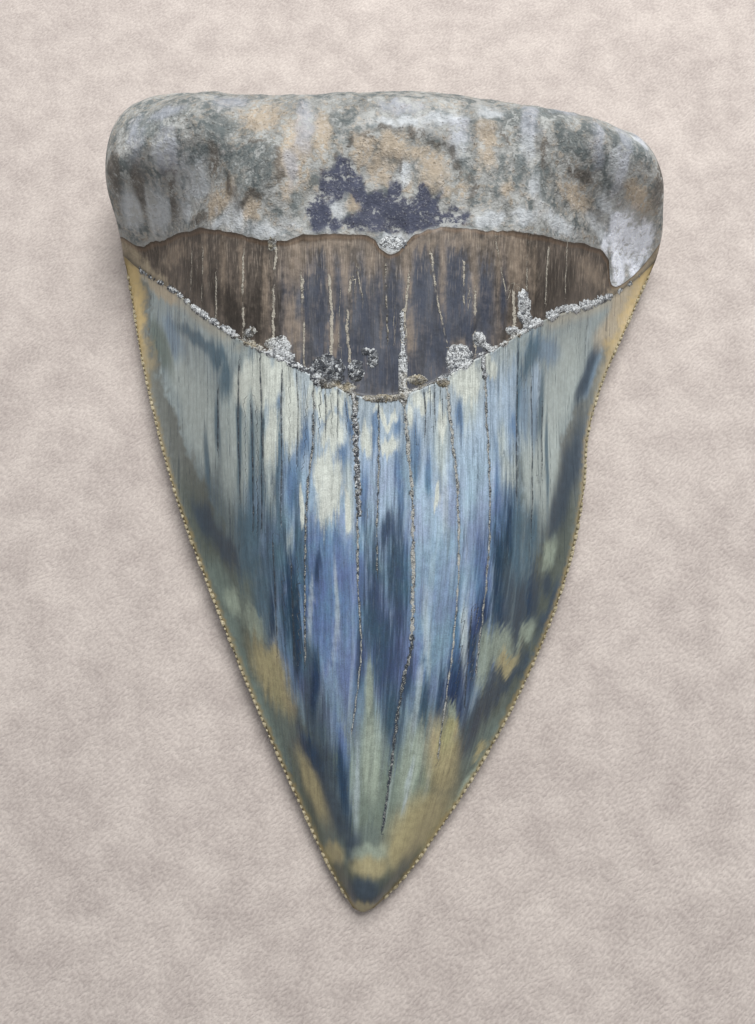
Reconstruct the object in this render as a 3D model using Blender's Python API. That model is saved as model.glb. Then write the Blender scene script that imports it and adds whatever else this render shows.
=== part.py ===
# A fossil shark tooth that lies on its flat outer face with the inner face up.
# The tip points along -Y and the root along +Y. The form is a loft from a thin
# tip, through the sharp-edged blade, to the thick two-lobed root: two sheets,
# one for each face, that meet in a seam along the cutting edges and round the
# back of the root.

import math

import bmesh
import bpy
import numpy as np
from mathutils import Vector, noise

MM = 0.001

# Driving dimensions, mm.
TIP_Y = -55.6
TIP_ROUNDING = 3.0
TIP_BOW = 0.5
TIP_BOW_LENGTH = 4.5
ROOT_BACK_ROUNDING = 11.0
ROOT_UNDER_ROUNDING = 8.0
ROOT_START_Y = 32.5
ROOT_FULL_Y = 40.5
LOBE_FLATNESS = 0.58
ENAMEL_THICKNESS = 0.6
ENAMEL_STEP_WIDTH = 0.7
ROOT_LIP_HEIGHT = 0.8
ROOT_LIP_WIDTH = 6.0
ROOT_LUMP_HEIGHT = 0.55
ROOT_LUMP_SIZE = 7.0
STEP_FADE = 3.0
REST_FLAT = 0.15
GROOVE_DEPTH = 0.45
GROOVE_WIDTH = 2.0
SERRATION_PITCH = 1.0
SERRATION_DEPTH = 0.32
SERRATION_REACH = 0.12
SERRATION_START_Y = -54.5
SERRATION_END_Y = 32.5

# Cells of the loft.
COLUMNS = 28
CROWN_ROWS = 36
BAND_ROWS = 7
ROOT_ROWS = 15
EDGE_CROWDING = 0.4

# Plan of the tooth: the two side edges, as (y, x) in mm.
LEFT_EDGE = [
    (-55.6, -4.3), (-52.5, -6.4), (-43.1, -11.4), (-29.9, -17.9), (-16.8, -23.8), (-4.2, -29.1),
    (10.2, -33.8), (25.3, -37.7), (35.5, -39.7), (38.0, -39.9), (41.5, -40.6), (45.5, -40.8),
    (49.0, -40.6), (52.5, -40.0), (55.5, -39.8),
]
RIGHT_EDGE = [
    (-55.6, -2.3), (-52.5, 1.2), (-46.0, 6.5), (-34.5, 14.3), (-22.4, 20.8), (-10.2, 25.5),
    (-0.5, 27.7), (5.8, 28.5), (12.5, 30.5), (27.8, 37.6), (34.2, 40.4), (36.5, 40.8),
    (38.5, 40.2), (41.5, 39.7), (45.5, 39.1), (49.0, 38.4), (52.5, 37.6), (55.5, 37.4),
]

# Lines across the tooth, as (across, y): across is -1 at the left edge and 1 at
# the right one. The enamel ends in a chevron, the smooth band lies behind it, and
# the rough root begins at the root line.
CHEVRON = [
    (-1.0, 34.5), (-0.84, 27.7), (-0.65, 18.4), (-0.5, 13.4), (-0.32, 9.9), (-0.17, 7.4),
    (-0.05, 5.9), (0.03, 5.8), (0.24, 7.5), (0.38, 10.2), (0.51, 13.3), (0.64, 18.0),
    (0.77, 22.4), (0.9, 27.9), (1.0, 33.7),
]
ROOT_LINE = [
    (-1.0, 37.0), (-0.82, 34.1), (-0.68, 31.3), (-0.52, 27.2), (-0.4, 25.1), (-0.16, 25.1),
    (-0.04, 24.7), (0.05, 23.1), (0.12, 24.9), (0.34, 25.9), (0.6, 27.7), (0.75, 29.6),
    (0.85, 29.2), (0.92, 31.5), (1.0, 36.5),
]
ROOT_BACK = [
    (-1.0, 51.5), (-0.97, 53.7), (-0.87, 55.4), (-0.65, 54.9), (-0.43, 53.1), (-0.22, 52.7),
    (0.17, 53.1), (0.37, 51.9), (0.58, 50.4), (0.79, 49.3), (0.92, 48.9), (1.0, 46.7),
]
UNDER_ENAMEL_END = [(-1.0, 34.5), (-0.5, 28.5), (0.0, 26.0), (0.5, 28.0), (1.0, 33.7)]

# Heights along the tooth, as (y, z): the seam, and the crest of the inner face.
SEAM_HEIGHT = [
    (-55.5, 1.3), (-50.5, 1.6), (-40.5, 2.1), (-20.5, 2.7), (-0.5, 3.1), (19.5, 3.4),
    (32.5, 3.8), (36.5, 5.5), (40.5, 8.5), (45.5, 10.0), (55.5, 10.5),
]
CREST_HEIGHT = [
    (-55.6, 1.6), (-54.3, 3.3), (-52.5, 4.2), (-48.5, 5.4), (-40.5, 7.4), (-30.5, 9.6),
    (-17.5, 12.2), (-5.5, 15.0), (5.5, 17.9), (15.5, 21.0), (24.5, 24.0), (30.5, 26.0),
    (35.5, 26.8), (41.5, 26.2), (47.5, 24.0), (55.5, 21.5),
]
UNDER_ARCH = [(-42.5, 0.0), (-20.5, 0.8), (7.5, 0.9), (27.5, 0.0)]

# Broad relief of the root, as (x, y, radius along x, radius along y, height).
ROOT_RELIEF = [
    (-16.6, 34.0, 5.0, 5.0, 0.7),
    (1.4, 31.0, 14.0, 5.5, -0.9),
    (8.4, 36.0, 6.0, 3.5, -0.6),
    (-29.6, 41.5, 7.0, 6.0, 0.8),
    (25.4, 41.5, 9.0, 6.0, 0.7),
    (34.4, 33.5, 3.5, 6.0, 0.8),
    (0.4, 44.5, 10.0, 4.0, 0.5),
]

TOOTH_COLOUR = (0.19, 0.22, 0.27, 1.0)
TOOTH_ROUGHNESS = 0.42


class Curve:
    # A smooth curve through its points, flat beyond the ends.

    def __init__(self, points):
        self.at, self.value = np.array(points, float).T
        step = np.diff(self.at)
        rise = np.diff(self.value) / step
        inner = (rise[:-1] * step[1:] + rise[1:] * step[:-1]) / (step[1:] + step[:-1])
        self.slope = np.concatenate(([rise[0]], inner, [rise[-1]]))

    def __call__(self, position):
        position = min(max(position, self.at[0]), self.at[-1])
        span = int(np.clip(np.searchsorted(self.at, position, side="right") - 1, 0, len(self.at) - 2))
        width = self.at[span + 1] - self.at[span]
        f = (position - self.at[span]) / width
        start = (1 + 2 * f) * (1 - f) ** 2 * self.value[span]
        end = f * f * (3 - 2 * f) * self.value[span + 1]
        leave = f * (1 - f) ** 2 * width * self.slope[span]
        arrive = f * f * (f - 1) * width * self.slope[span + 1]
        return start + end + leave + arrive


left_edge = Curve(LEFT_EDGE)
right_edge = Curve(RIGHT_EDGE)
chevron = Curve(CHEVRON)
root_line = Curve(ROOT_LINE)
root_back = Curve(ROOT_BACK)
under_enamel_end = Curve(UNDER_ENAMEL_END)
seam_height = Curve(SEAM_HEIGHT)
crest_height = Curve(CREST_HEIGHT)
under_arch = Curve(UNDER_ARCH)


def ramp(start, end, value):
    # 0 before start, 1 after end, smooth between them.
    f = min(max((value - start) / (end - start), 0.0), 1.0)
    return f * f * (3 - 2 * f)


def rounding(distance, radius):
    # Height of a quarter circle above its foot, as a part of its radius.
    f = min(max(1 - distance / radius, 0.0), 1.0)
    return math.sqrt(1 - f * f)


def spread(fraction):
    # Columns crowd a little towards both edges.
    return (1 - EDGE_CROWDING) * fraction + EDGE_CROWDING * math.sin(math.pi / 2 * fraction)


def place(across, row):
    # Plan position of one loft point. Rows run straight at the tip and turn into
    # the chevron, the root line and the root's back. They crowd at both ends of
    # the band, where the surface steps, and at the back, where it rolls over.
    if row <= CROWN_ROWS:
        start, end, f = TIP_Y, chevron(across), row / CROWN_ROWS
    elif row <= CROWN_ROWS + BAND_ROWS:
        start, end, f = chevron(across), root_line(across), (row - CROWN_ROWS) / BAND_ROWS
        f = (f + 2 * ramp(0.0, 1.0, f)) / 3
    else:
        start, end = root_line(across), root_back(across)
        f = math.sin(math.pi / 2 * (row - CROWN_ROWS - BAND_ROWS) / ROOT_ROWS)
    y = start + (end - start) * f
    y += TIP_BOW * across * across * (1 - ramp(TIP_Y, TIP_Y + TIP_BOW_LENGTH, y))
    x = (left_edge(y) + right_edge(y)) / 2 + across * (right_edge(y) - left_edge(y)) / 2
    return x, y


def root_relief(x, y):
    # Lumps and hollows of the rough root.
    height = ROOT_LUMP_HEIGHT * noise.noise(Vector((x, y, 0.0)) / ROOT_LUMP_SIZE)
    height += 0.5 * ROOT_LUMP_HEIGHT * noise.noise(Vector((x, y, 9.0)) / (ROOT_LUMP_SIZE / 2.5))
    for centre_x, centre_y, radius_x, radius_y, lift in ROOT_RELIEF:
        apart = ((x - centre_x) / radius_x) ** 2 + ((y - centre_y) / radius_y) ** 2
        height += lift * math.exp(-apart * apart)
    return height


def inner_face(x, y, across):
    # The domed face that shows: blade, smooth band and root.
    side = abs(across)
    blade = math.cos(math.pi / 2 * side * side) ** 2
    lobes = (1 - LOBE_FLATNESS) * math.cos(math.pi / 2 * side ** 1.5)
    lobes += LOBE_FLATNESS * math.sqrt(max(1 - side ** 9, 0.0))
    rootward = ramp(ROOT_START_Y, ROOT_FULL_Y, y)
    section = blade + (lobes - blade) * rootward
    section *= rounding(root_back(across) - y, ROOT_BACK_ROUNDING) ** 0.9
    section *= rounding(y - TIP_Y, TIP_ROUNDING)
    seam = seam_height(y)
    height = seam + (crest_height(y) - seam) * section

    inside = min(1.0, STEP_FADE * (1 - side)) * min(1.0, STEP_FADE * section)
    past_enamel = ramp(0.0, ENAMEL_STEP_WIDTH, y - chevron(across))
    past_root_line = ramp(-ENAMEL_STEP_WIDTH, 0.0, y - root_line(across))
    height -= ENAMEL_THICKNESS * past_enamel * inside
    lip = max(0.0, 1 - max(0.0, y - root_line(across)) / ROOT_LIP_WIDTH)
    height += (ENAMEL_THICKNESS + ROOT_LIP_HEIGHT * lip + root_relief(x, y)) * past_root_line * inside
    return height


def outer_face(y, across):
    # The nearly flat face that it lies on, with a low arch under the blade and a
    # shallow groove where the enamel ends.
    side = abs(across)
    rootward = ramp(ROOT_START_Y, ROOT_FULL_Y, y)
    blade = 1 - side ** 4
    lobes = math.sqrt(1 - side ** 6)
    section = blade + (lobes - blade) * rootward
    section *= rounding(root_back(across) - y, ROOT_UNDER_ROUNDING)
    section *= rounding(y - TIP_Y, TIP_ROUNDING)
    height = seam_height(y) * (1 - section) + under_arch(y) * math.cos(math.pi / 2 * side) * section
    groove = math.exp(-((y - under_enamel_end(across)) / GROOVE_WIDTH) ** 2)
    height += GROOVE_DEPTH * groove * section
    return max(0.0, height - REST_FLAT)


def add_sheet(mesh, face):
    # One face of the tooth, made from a flat grid.
    rows = CROWN_ROWS + BAND_ROWS + ROOT_ROWS
    before = set(mesh.verts)
    bmesh.ops.create_grid(mesh, x_segments=COLUMNS, y_segments=rows, size=1.0)
    sheet = [vert for vert in mesh.verts if vert not in before]
    for vert in sheet:
        across = spread(vert.co.x)
        row = round((vert.co.y + 1) / 2 * rows)
        x, y = place(across, row)
        on_seam = abs(across) > 0.9999 or row in (0, rows)
        if on_seam:
            z = seam_height(y)
        elif face == "inner":
            z = inner_face(x, y, across)
        else:
            z = outer_face(y, across)
        vert.co = Vector((x, y, z)) * MM
    return sheet


def cutting_edges(mesh, on_left):
    # The seam's edges along one side of the blade, where an upward face meets a
    # downward one.
    mesh.normal_update()
    edges = []
    for edge in mesh.edges:
        middle = (edge.verts[0].co + edge.verts[1].co) / 2 / MM
        upward = [face.normal.z > 0 for face in edge.link_faces]
        half_way = (left_edge(middle.y) + right_edge(middle.y)) / 2
        along_blade = SERRATION_START_Y < middle.y < SERRATION_END_Y
        if along_blade and upward[0] != upward[1] and (middle.x < half_way) == on_left:
            edges.append(edge)
    return edges


def serrate(mesh, on_left):
    # Small even teeth, fused into one cutting edge.
    edges = cutting_edges(mesh, on_left)
    length = sum(edge.calc_length() for edge in edges) / len(edges) / MM
    cuts = max(1, round(2 * length / SERRATION_PITCH) - 1)
    bmesh.ops.subdivide_edges(mesh, edges=edges, cuts=cuts)
    chain = {vert for edge in cutting_edges(mesh, on_left) for vert in edge.verts}
    outline = left_edge if on_left else right_edge
    outward = -1 if on_left else 1
    for index, vert in enumerate(sorted(chain, key=lambda item: item.co.y)):
        y = vert.co.y / MM
        lean = outline(y + 0.5) - outline(y - 0.5)
        push = Vector((outward, -outward * lean, 0.0)).normalized()
        reach = SERRATION_REACH - SERRATION_DEPTH * (index % 2)
        vert.co += push * reach * MM


def centre_on_base(mesh):
    # The origin is the middle of the bounding box's bottom.
    corners = np.array([vert.co for vert in mesh.verts])
    low, high = corners.min(axis=0), corners.max(axis=0)
    shift = Vector((-(low[0] + high[0]) / 2, -(low[1] + high[1]) / 2, -low[2]))
    bmesh.ops.translate(mesh, verts=mesh.verts, vec=shift)


def tooth_material():
    material = bpy.data.materials.new("fossil_tooth")
    material.use_nodes = True
    surface = material.node_tree.nodes["Principled BSDF"]
    surface.inputs["Base Color"].default_value = TOOTH_COLOUR
    surface.inputs["Roughness"].default_value = TOOTH_ROUGHNESS
    surface.inputs["Metallic"].default_value = 0.0
    return material


def make_tooth(collection):
    mesh = bmesh.new()
    add_sheet(mesh, "inner")
    outer = add_sheet(mesh, "outer")
    outer_faces = {face for vert in outer for face in vert.link_faces}
    bmesh.ops.reverse_faces(mesh, faces=list(outer_faces))
    bmesh.ops.remove_doubles(mesh, verts=mesh.verts, dist=0.000001)
    serrate(mesh, on_left=True)
    serrate(mesh, on_left=False)
    bmesh.ops.triangulate(mesh, faces=mesh.faces)
    centre_on_base(mesh)

    data = bpy.data.meshes.new("megalodon_tooth")
    mesh.to_mesh(data)
    mesh.free()
    data.materials.append(tooth_material())
    data.shade_smooth()
    data.set_sharp_from_angle(angle=math.radians(50))
    tooth = bpy.data.objects.new("megalodon_tooth", data)
    collection.objects.link(tooth)
    return tooth


def main():
    for item in list(bpy.data.objects):
        bpy.data.objects.remove(item, do_unlink=True)
    collection = bpy.data.collections.new("megalodon_tooth")
    bpy.context.scene.collection.children.link(collection)
    make_tooth(collection)


main()
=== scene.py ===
import math

import bmesh
import bpy
import numpy as np
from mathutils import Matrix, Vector, noise


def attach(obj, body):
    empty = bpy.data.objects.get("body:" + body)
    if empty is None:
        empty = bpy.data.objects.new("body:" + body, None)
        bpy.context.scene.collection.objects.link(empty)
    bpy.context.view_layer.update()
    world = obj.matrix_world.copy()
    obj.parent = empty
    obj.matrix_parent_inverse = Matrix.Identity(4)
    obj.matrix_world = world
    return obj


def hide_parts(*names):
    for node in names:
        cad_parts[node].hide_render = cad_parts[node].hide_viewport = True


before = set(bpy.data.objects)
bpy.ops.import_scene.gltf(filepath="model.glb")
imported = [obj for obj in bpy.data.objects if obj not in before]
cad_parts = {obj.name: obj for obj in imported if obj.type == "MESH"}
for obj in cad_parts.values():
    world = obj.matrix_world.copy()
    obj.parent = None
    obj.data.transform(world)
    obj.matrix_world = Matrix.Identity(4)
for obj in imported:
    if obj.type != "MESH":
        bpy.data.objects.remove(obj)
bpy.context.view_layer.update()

mm = 0.001  # every size below is in millimetres until it is placed

# The tooth lies along Y with its tip at -Y. Edges are (y, x) and lines across
# are (across, y), where across runs from -1 at the left edge to 1 at the right.
toothForm = {
    "halfWidth": 40.0,
    "tipY": -55.6,
    "tipRounding": 3.0,
    "tipBow": 0.5,
    "tipBowLength": 4.5,
    "backRounding": 11.0,
    "underRounding": 8.0,
    "rootStartY": 32.5,
    "rootFullY": 40.5,
    "lobeFlatness": 0.58,
    "enamelThickness": 0.6,
    "enamelStep": 0.45,
    "narrowestBand": 0.25,
    "lipHeight": 0.1,
    "lipWidth": 5.0,
    "lipStep": 0.3,
    "restFlat": 0.15,
    "crownHeight": 27.0,
    "crownEasing": (1.6, 1.5),  # where the easing starts below the top, and its room
    "stoneBase": 0.45,  # share of the enamel's thickness that the root regains
    "grooveDepth": 0.45,
    "grooveWidth": 2.0,
    "pitDepth": 0.12,
    "pitSize": 1.6,
    "edgeInset": 0.16,
    "leftEdge": [
        (-55.6, -4.3), (-52.5, -6.4), (-43.1, -11.4), (-29.9, -17.9), (-16.8, -23.8), (-4.2, -29.1),
        (10.2, -33.8), (25.3, -37.7), (35.5, -39.7), (38.0, -39.9), (41.5, -40.6), (45.5, -40.8),
        (49.0, -40.6), (52.5, -40.0), (55.5, -39.8),
    ],
    "rightEdge": [
        (-55.6, -2.3), (-52.5, 1.2), (-46.0, 6.5), (-34.5, 14.3), (-22.4, 20.8), (-10.2, 25.5),
        (-0.5, 27.7), (5.8, 28.5), (12.5, 30.5), (27.8, 37.6), (34.2, 40.4), (36.5, 40.8), (38.5, 40.2),
        (41.5, 39.7), (45.5, 39.1), (49.0, 38.4), (52.5, 37.6), (55.5, 37.4),
    ],
    "chevron": [
        (-1.0, 34.5), (-0.84, 27.7), (-0.65, 18.4), (-0.5, 13.4), (-0.32, 9.9), (-0.17, 7.4),
        (-0.05, 5.9), (0.03, 5.8), (0.24, 7.5), (0.38, 10.2), (0.51, 13.3), (0.64, 18.0), (0.77, 22.4),
        (0.9, 27.9), (1.0, 33.7),
    ],
    "rootLine": [
        (-1.0, 36.4), (-0.93, 34.6), (-0.82, 33.6), (-0.75, 32.4), (-0.68, 31.0), (-0.55, 27.8),
        (-0.47, 26.0), (-0.4, 24.9), (-0.35, 24.4), (-0.26, 24.8), (-0.12, 24.8), (-0.04, 24.5),
        (0.01, 22.9), (0.05, 22.9), (0.1, 24.6), (0.34, 25.8), (0.5, 26.6), (0.62, 28.0), (0.72, 29.9),
        (0.78, 30.9), (0.81, 30.7), (0.84, 29.4), (0.865, 28.6), (0.89, 28.8), (0.93, 31.0), (1.0, 36.2),
    ],
    "rootBack": [
        (-1.0, 51.5), (-0.97, 53.7), (-0.87, 55.4), (-0.65, 54.9), (-0.43, 53.1), (-0.22, 52.7),
        (0.17, 53.1), (0.37, 51.9), (0.58, 50.4), (0.79, 49.3), (0.92, 48.9), (1.0, 46.7),
    ],
    "underEnamelEnd": [(-1.0, 34.5), (-0.5, 28.5), (0.0, 26.0), (0.5, 28.0), (1.0, 33.7)],
    "seamHeight": [
        (-55.5, 1.3), (-50.5, 1.6), (-40.5, 2.1), (-20.5, 2.7), (-0.5, 3.1), (19.5, 3.4), (32.5, 3.8),
        (36.5, 5.5), (40.5, 8.5), (45.5, 10.0), (55.5, 10.5),
    ],
    "crestHeight": [
        (-55.6, 1.6), (-54.3, 3.3), (-52.5, 4.2), (-48.5, 5.4), (-40.5, 7.4), (-30.5, 9.6), (-17.5, 12.2),
        (-5.5, 15.0), (5.5, 17.9), (15.5, 21.0), (24.5, 24.0), (30.5, 26.0), (35.5, 26.8), (41.5, 26.2),
        (47.5, 24.0), (55.5, 21.5),
    ],
    "underArch": [(-42.5, 0.0), (-20.5, 0.8), (7.5, 0.9), (27.5, 0.0)],
    # Enamel fibres run straight down from the chevron and draw together at the tip.
    "fibreAxis": [(-56.0, -3.2), (-30.0, -0.7), (-5.0, 0.0)],
    "fibreSpread": [(-56.0, 0.5), (-45.0, 0.66), (-30.0, 0.85), (-12.0, 1.0)],
}

# How the two lines wander: height, size and noise layer of each wander.
raggedness = {"chevron": [(0.16, 1.4, 41.0)], "rootLine": [(0.3, 2.6, 43.0), (0.14, 0.7, 45.0)]}

toothMesh = {
    "crownRows": 190,
    "bandRows": 50,
    "rootRows": 92,
    "columns": 256,
    "underShare": 4,  # one column below for this many above
    "halveBelowY": (-20.0, -40.0),
    "edgeCrowding": 0.15,
}

# Faint waves along the fibres: height, then size along x and y and the noise layer.
fibreWaves = [(0.05, (2.2, 30.0, 1.0)), (0.025, (0.9, 18.0, 2.0))]

# Relief of the root: x, y, radius along x, radius along y, height.
rootRelief = {
    "lumps": [
        (-16.6, 34.0, 5.0, 5.0, 0.7), (1.4, 31.0, 14.0, 5.5, -0.9), (8.4, 36.0, 6.0, 3.5, -0.6),
        (-29.6, 41.5, 7.0, 6.0, 0.8), (25.4, 41.5, 9.0, 6.0, 0.7), (34.4, 33.5, 3.5, 6.0, 0.8),
        (0.4, 44.5, 10.0, 4.0, 0.5),
    ],
    "ledges": [
        (2.6, 31.4, 7.2, 5.8, -0.5), (-17.0, 33.4, 3.3, 3.2, 0.6), (-23.0, 37.0, 3.6, 2.4, 0.25),
        (12.4, 36.0, 1.8, 3.4, 0.22), (21.0, 33.4, 2.4, 3.0, 0.2), (-10.4, 35.4, 2.4, 4.4, 0.2),
        (29.4, 35.6, 3.0, 2.4, 0.22), (-31.0, 38.0, 3.4, 1.8, 0.2), (5.4, 33.4, 1.6, 2.0, 0.2),
        (-3.0, 35.4, 1.5, 1.5, 0.2), (1.0, 36.0, 1.8, 1.2, 0.16),
    ],
    "lumpHeight": 0.55,
    "lumpSize": 7.0,
    "knobHeight": 0.16,
    "knobSize": 1.5,
    "gritHeight": 0.05,
    "gritSize": 0.55,
}


def smoothCurve(points):
    at, value = np.array(sorted(points), float).T
    step = np.diff(at)
    rise = np.diff(value) / step
    inner = (rise[:-1] * step[1:] + rise[1:] * step[:-1]) / (step[1:] + step[:-1])
    slope = np.concatenate(([rise[0]], inner, [rise[-1]]))

    def curve(position):
        position = np.clip(np.asarray(position, float), at[0], at[-1])
        span = np.clip(np.searchsorted(at, position, side="right") - 1, 0, len(at) - 2)
        width = step[span]
        f = (position - at[span]) / width
        start = (1 + 2 * f) * (1 - f) ** 2 * value[span] + f * (1 - f) ** 2 * width * slope[span]
        end = f * f * (3 - 2 * f) * value[span + 1] + f * f * (f - 1) * width * slope[span + 1]
        return start + end

    return curve


def ramp(start, end, value):
    f = np.clip((value - start) / (end - start), 0.0, 1.0)
    return f * f * (3 - 2 * f)


def rounding(distance, radius):
    f = np.clip(1 - distance / radius, 0.0, 1.0)
    return np.sqrt(1 - f * f)


def noiseAt(x, y, sizeX, sizeY, layer):
    flat = zip(np.ravel(x / sizeX), np.ravel(y / sizeY))
    return np.array([noise.noise((a, b, layer)) for a, b in flat]).reshape(np.shape(x))


def grainsAt(x, y, size, layer):
    # Round bumps packed side by side: 1 on top of a grain, 0 between grains.
    flat = zip(np.ravel(x / size), np.ravel(y / size))
    near = np.array([noise.voronoi((a, b, layer))[0][0] for a, b in flat]).reshape(np.shape(x))
    return np.clip(1 - near * 1.5, 0.0, 1.0)


form = {name: smoothCurve(value) if isinstance(value, list) else value for name, value in toothForm.items()}


def acrossAt(x, y):
    left, right = form["leftEdge"](y), form["rightEdge"](y)
    return np.clip((2 * x - left - right) / (right - left), -1.0, 1.0)


def raggedLine(name, across):
    place, level = across * toothForm["halfWidth"], np.zeros_like(across)
    ragged = sum(reach * noiseAt(place, level, size, 1.0, layer) for reach, size, layer in raggedness[name])
    return form[name](across) + ragged * np.minimum(1.0, 8 * (1 - np.abs(across)))


def chevronAt(across):
    return raggedLine("chevron", across)


def rootLineAt(across):
    return np.maximum(raggedLine("rootLine", across), form["chevron"](across) + toothForm["narrowestBand"])


def rootLumps(x, y):
    height = rootRelief["lumpHeight"] * noiseAt(x, y, rootRelief["lumpSize"], rootRelief["lumpSize"], 0.0)
    small = rootRelief["lumpSize"] / 2.5
    height += 0.5 * rootRelief["lumpHeight"] * noiseAt(x, y, small, small, 9.0 / rootRelief["lumpSize"])
    for centreX, centreY, radiusX, radiusY, lift in rootRelief["lumps"]:
        apart = ((x - centreX) / radiusX) ** 2 + ((y - centreY) / radiusY) ** 2
        height += lift * np.exp(-apart * apart)
    return height


def rootLedges(x, y):
    height = np.zeros(np.shape(x))
    for centreX, centreY, radiusX, radiusY, lift in rootRelief["ledges"]:
        field = strokeField(x, y, [(centreX, centreY, radiusX, radiusY, 0.0)], stoneWander)
        height += lift * ramp(0.36, 0.56, field)
    return height


def rootGrit(x, y):
    knob, grit = rootRelief["knobSize"], rootRelief["gritSize"]
    height = rootRelief["knobHeight"] * (noiseAt(x, y, knob, knob, 3.0) - 0.3)
    height += rootRelief["gritHeight"] * noiseAt(x, y, grit, grit, 5.0)
    return height


def innerFace(x, y, across, detail=True):
    side = np.abs(across)
    blade = np.cos(math.pi / 2 * side * side) ** 2
    lobes = (1 - form["lobeFlatness"]) * np.cos(math.pi / 2 * side ** 1.5)
    lobes += form["lobeFlatness"] * np.sqrt(np.maximum(1 - side ** 9, 0.0))
    section = blade + (lobes - blade) * ramp(form["rootStartY"], form["rootFullY"], y)
    section = section * rounding(form["rootBack"](across) - y, form["backRounding"]) ** 0.9
    section = section * rounding(y - form["tipY"], form["tipRounding"])
    seam = form["seamHeight"](y)
    height = seam + (form["crestHeight"](y) - seam) * section

    inside = np.minimum(1.0, 3 * (1 - side)) * np.minimum(1.0, 3 * section)
    rootLine = rootLineAt(across)
    pastEnamel = ramp(0.0, form["enamelStep"], y - chevronAt(across))
    pastRootLine = ramp(-form["lipStep"], 0.0, y - rootLine)
    height = height - form["enamelThickness"] * pastEnamel * inside
    lip = np.maximum(0.0, 1 - np.maximum(0.0, y - rootLine) / form["lipWidth"])
    rough = rootLumps(x, y)
    if detail:
        rough = rough + rootGrit(x, y) + rootLedges(x, y)
        waves = sum(lift * noiseAt(x, y, *size) for lift, size in fibreWaves)
        height = height + waves * (1 - pastRootLine) * inside
    rise = form["stoneBase"] * form["enamelThickness"] + form["lipHeight"] * lip + rough
    height = height + rise * pastRootLine * inside
    below, room = form["crownEasing"]
    low = form["crownHeight"] - below
    return np.where(height > low, low + room * np.tanh((height - low) / room), height)


def outerFace(x, y, across):
    side = np.abs(across)
    blade, lobes = 1 - side ** 4, np.sqrt(1 - side ** 6)
    section = blade + (lobes - blade) * ramp(form["rootStartY"], form["rootFullY"], y)
    section = section * rounding(form["rootBack"](across) - y, form["underRounding"])
    section = section * rounding(y - form["tipY"], form["tipRounding"])
    height = form["seamHeight"](y) * (1 - section)
    height += form["underArch"](y) * np.cos(math.pi / 2 * side) * section
    groove = np.exp(-((y - form["underEnamelEnd"](across)) / form["grooveWidth"]) ** 2)
    height += form["grooveDepth"] * groove * section
    pastEnamel = ramp(0.0, 2.0, y - form["underEnamelEnd"](across))
    hollow = np.maximum(0.0, noiseAt(x, y, form["pitSize"], form["pitSize"], 7.0))
    pits = form["pitDepth"] * hollow * pastEnamel
    return np.maximum(0.0, height - form["restFlat"]) + pits * section


def placeRow(across, row):
    crown, band, root = toothMesh["crownRows"], toothMesh["bandRows"], toothMesh["rootRows"]
    chevron, rootLine = chevronAt(across), rootLineAt(across)
    if row <= crown:
        start, end, f = form["tipY"], chevron, row / crown
    elif row <= crown + band:
        start, end, f = chevron, rootLine, (row - crown) / band
    else:
        start, end = rootLine, form["rootBack"](across)
        f = math.sin(math.pi / 2 * (row - crown - band) / root)
    y = start + (end - start) * f
    bow = form["tipBow"] * across * across
    y = y + bow * (1 - ramp(form["tipY"], form["tipY"] + form["tipBowLength"], y))
    left, right = form["leftEdge"](y), form["rightEdge"](y)
    inset = form["edgeInset"] * ramp(-form["rootStartY"] - 2, -form["rootStartY"], -y)
    x = (left + right) / 2 + across * ((right - left) / 2 - inset)
    return x, y


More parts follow.
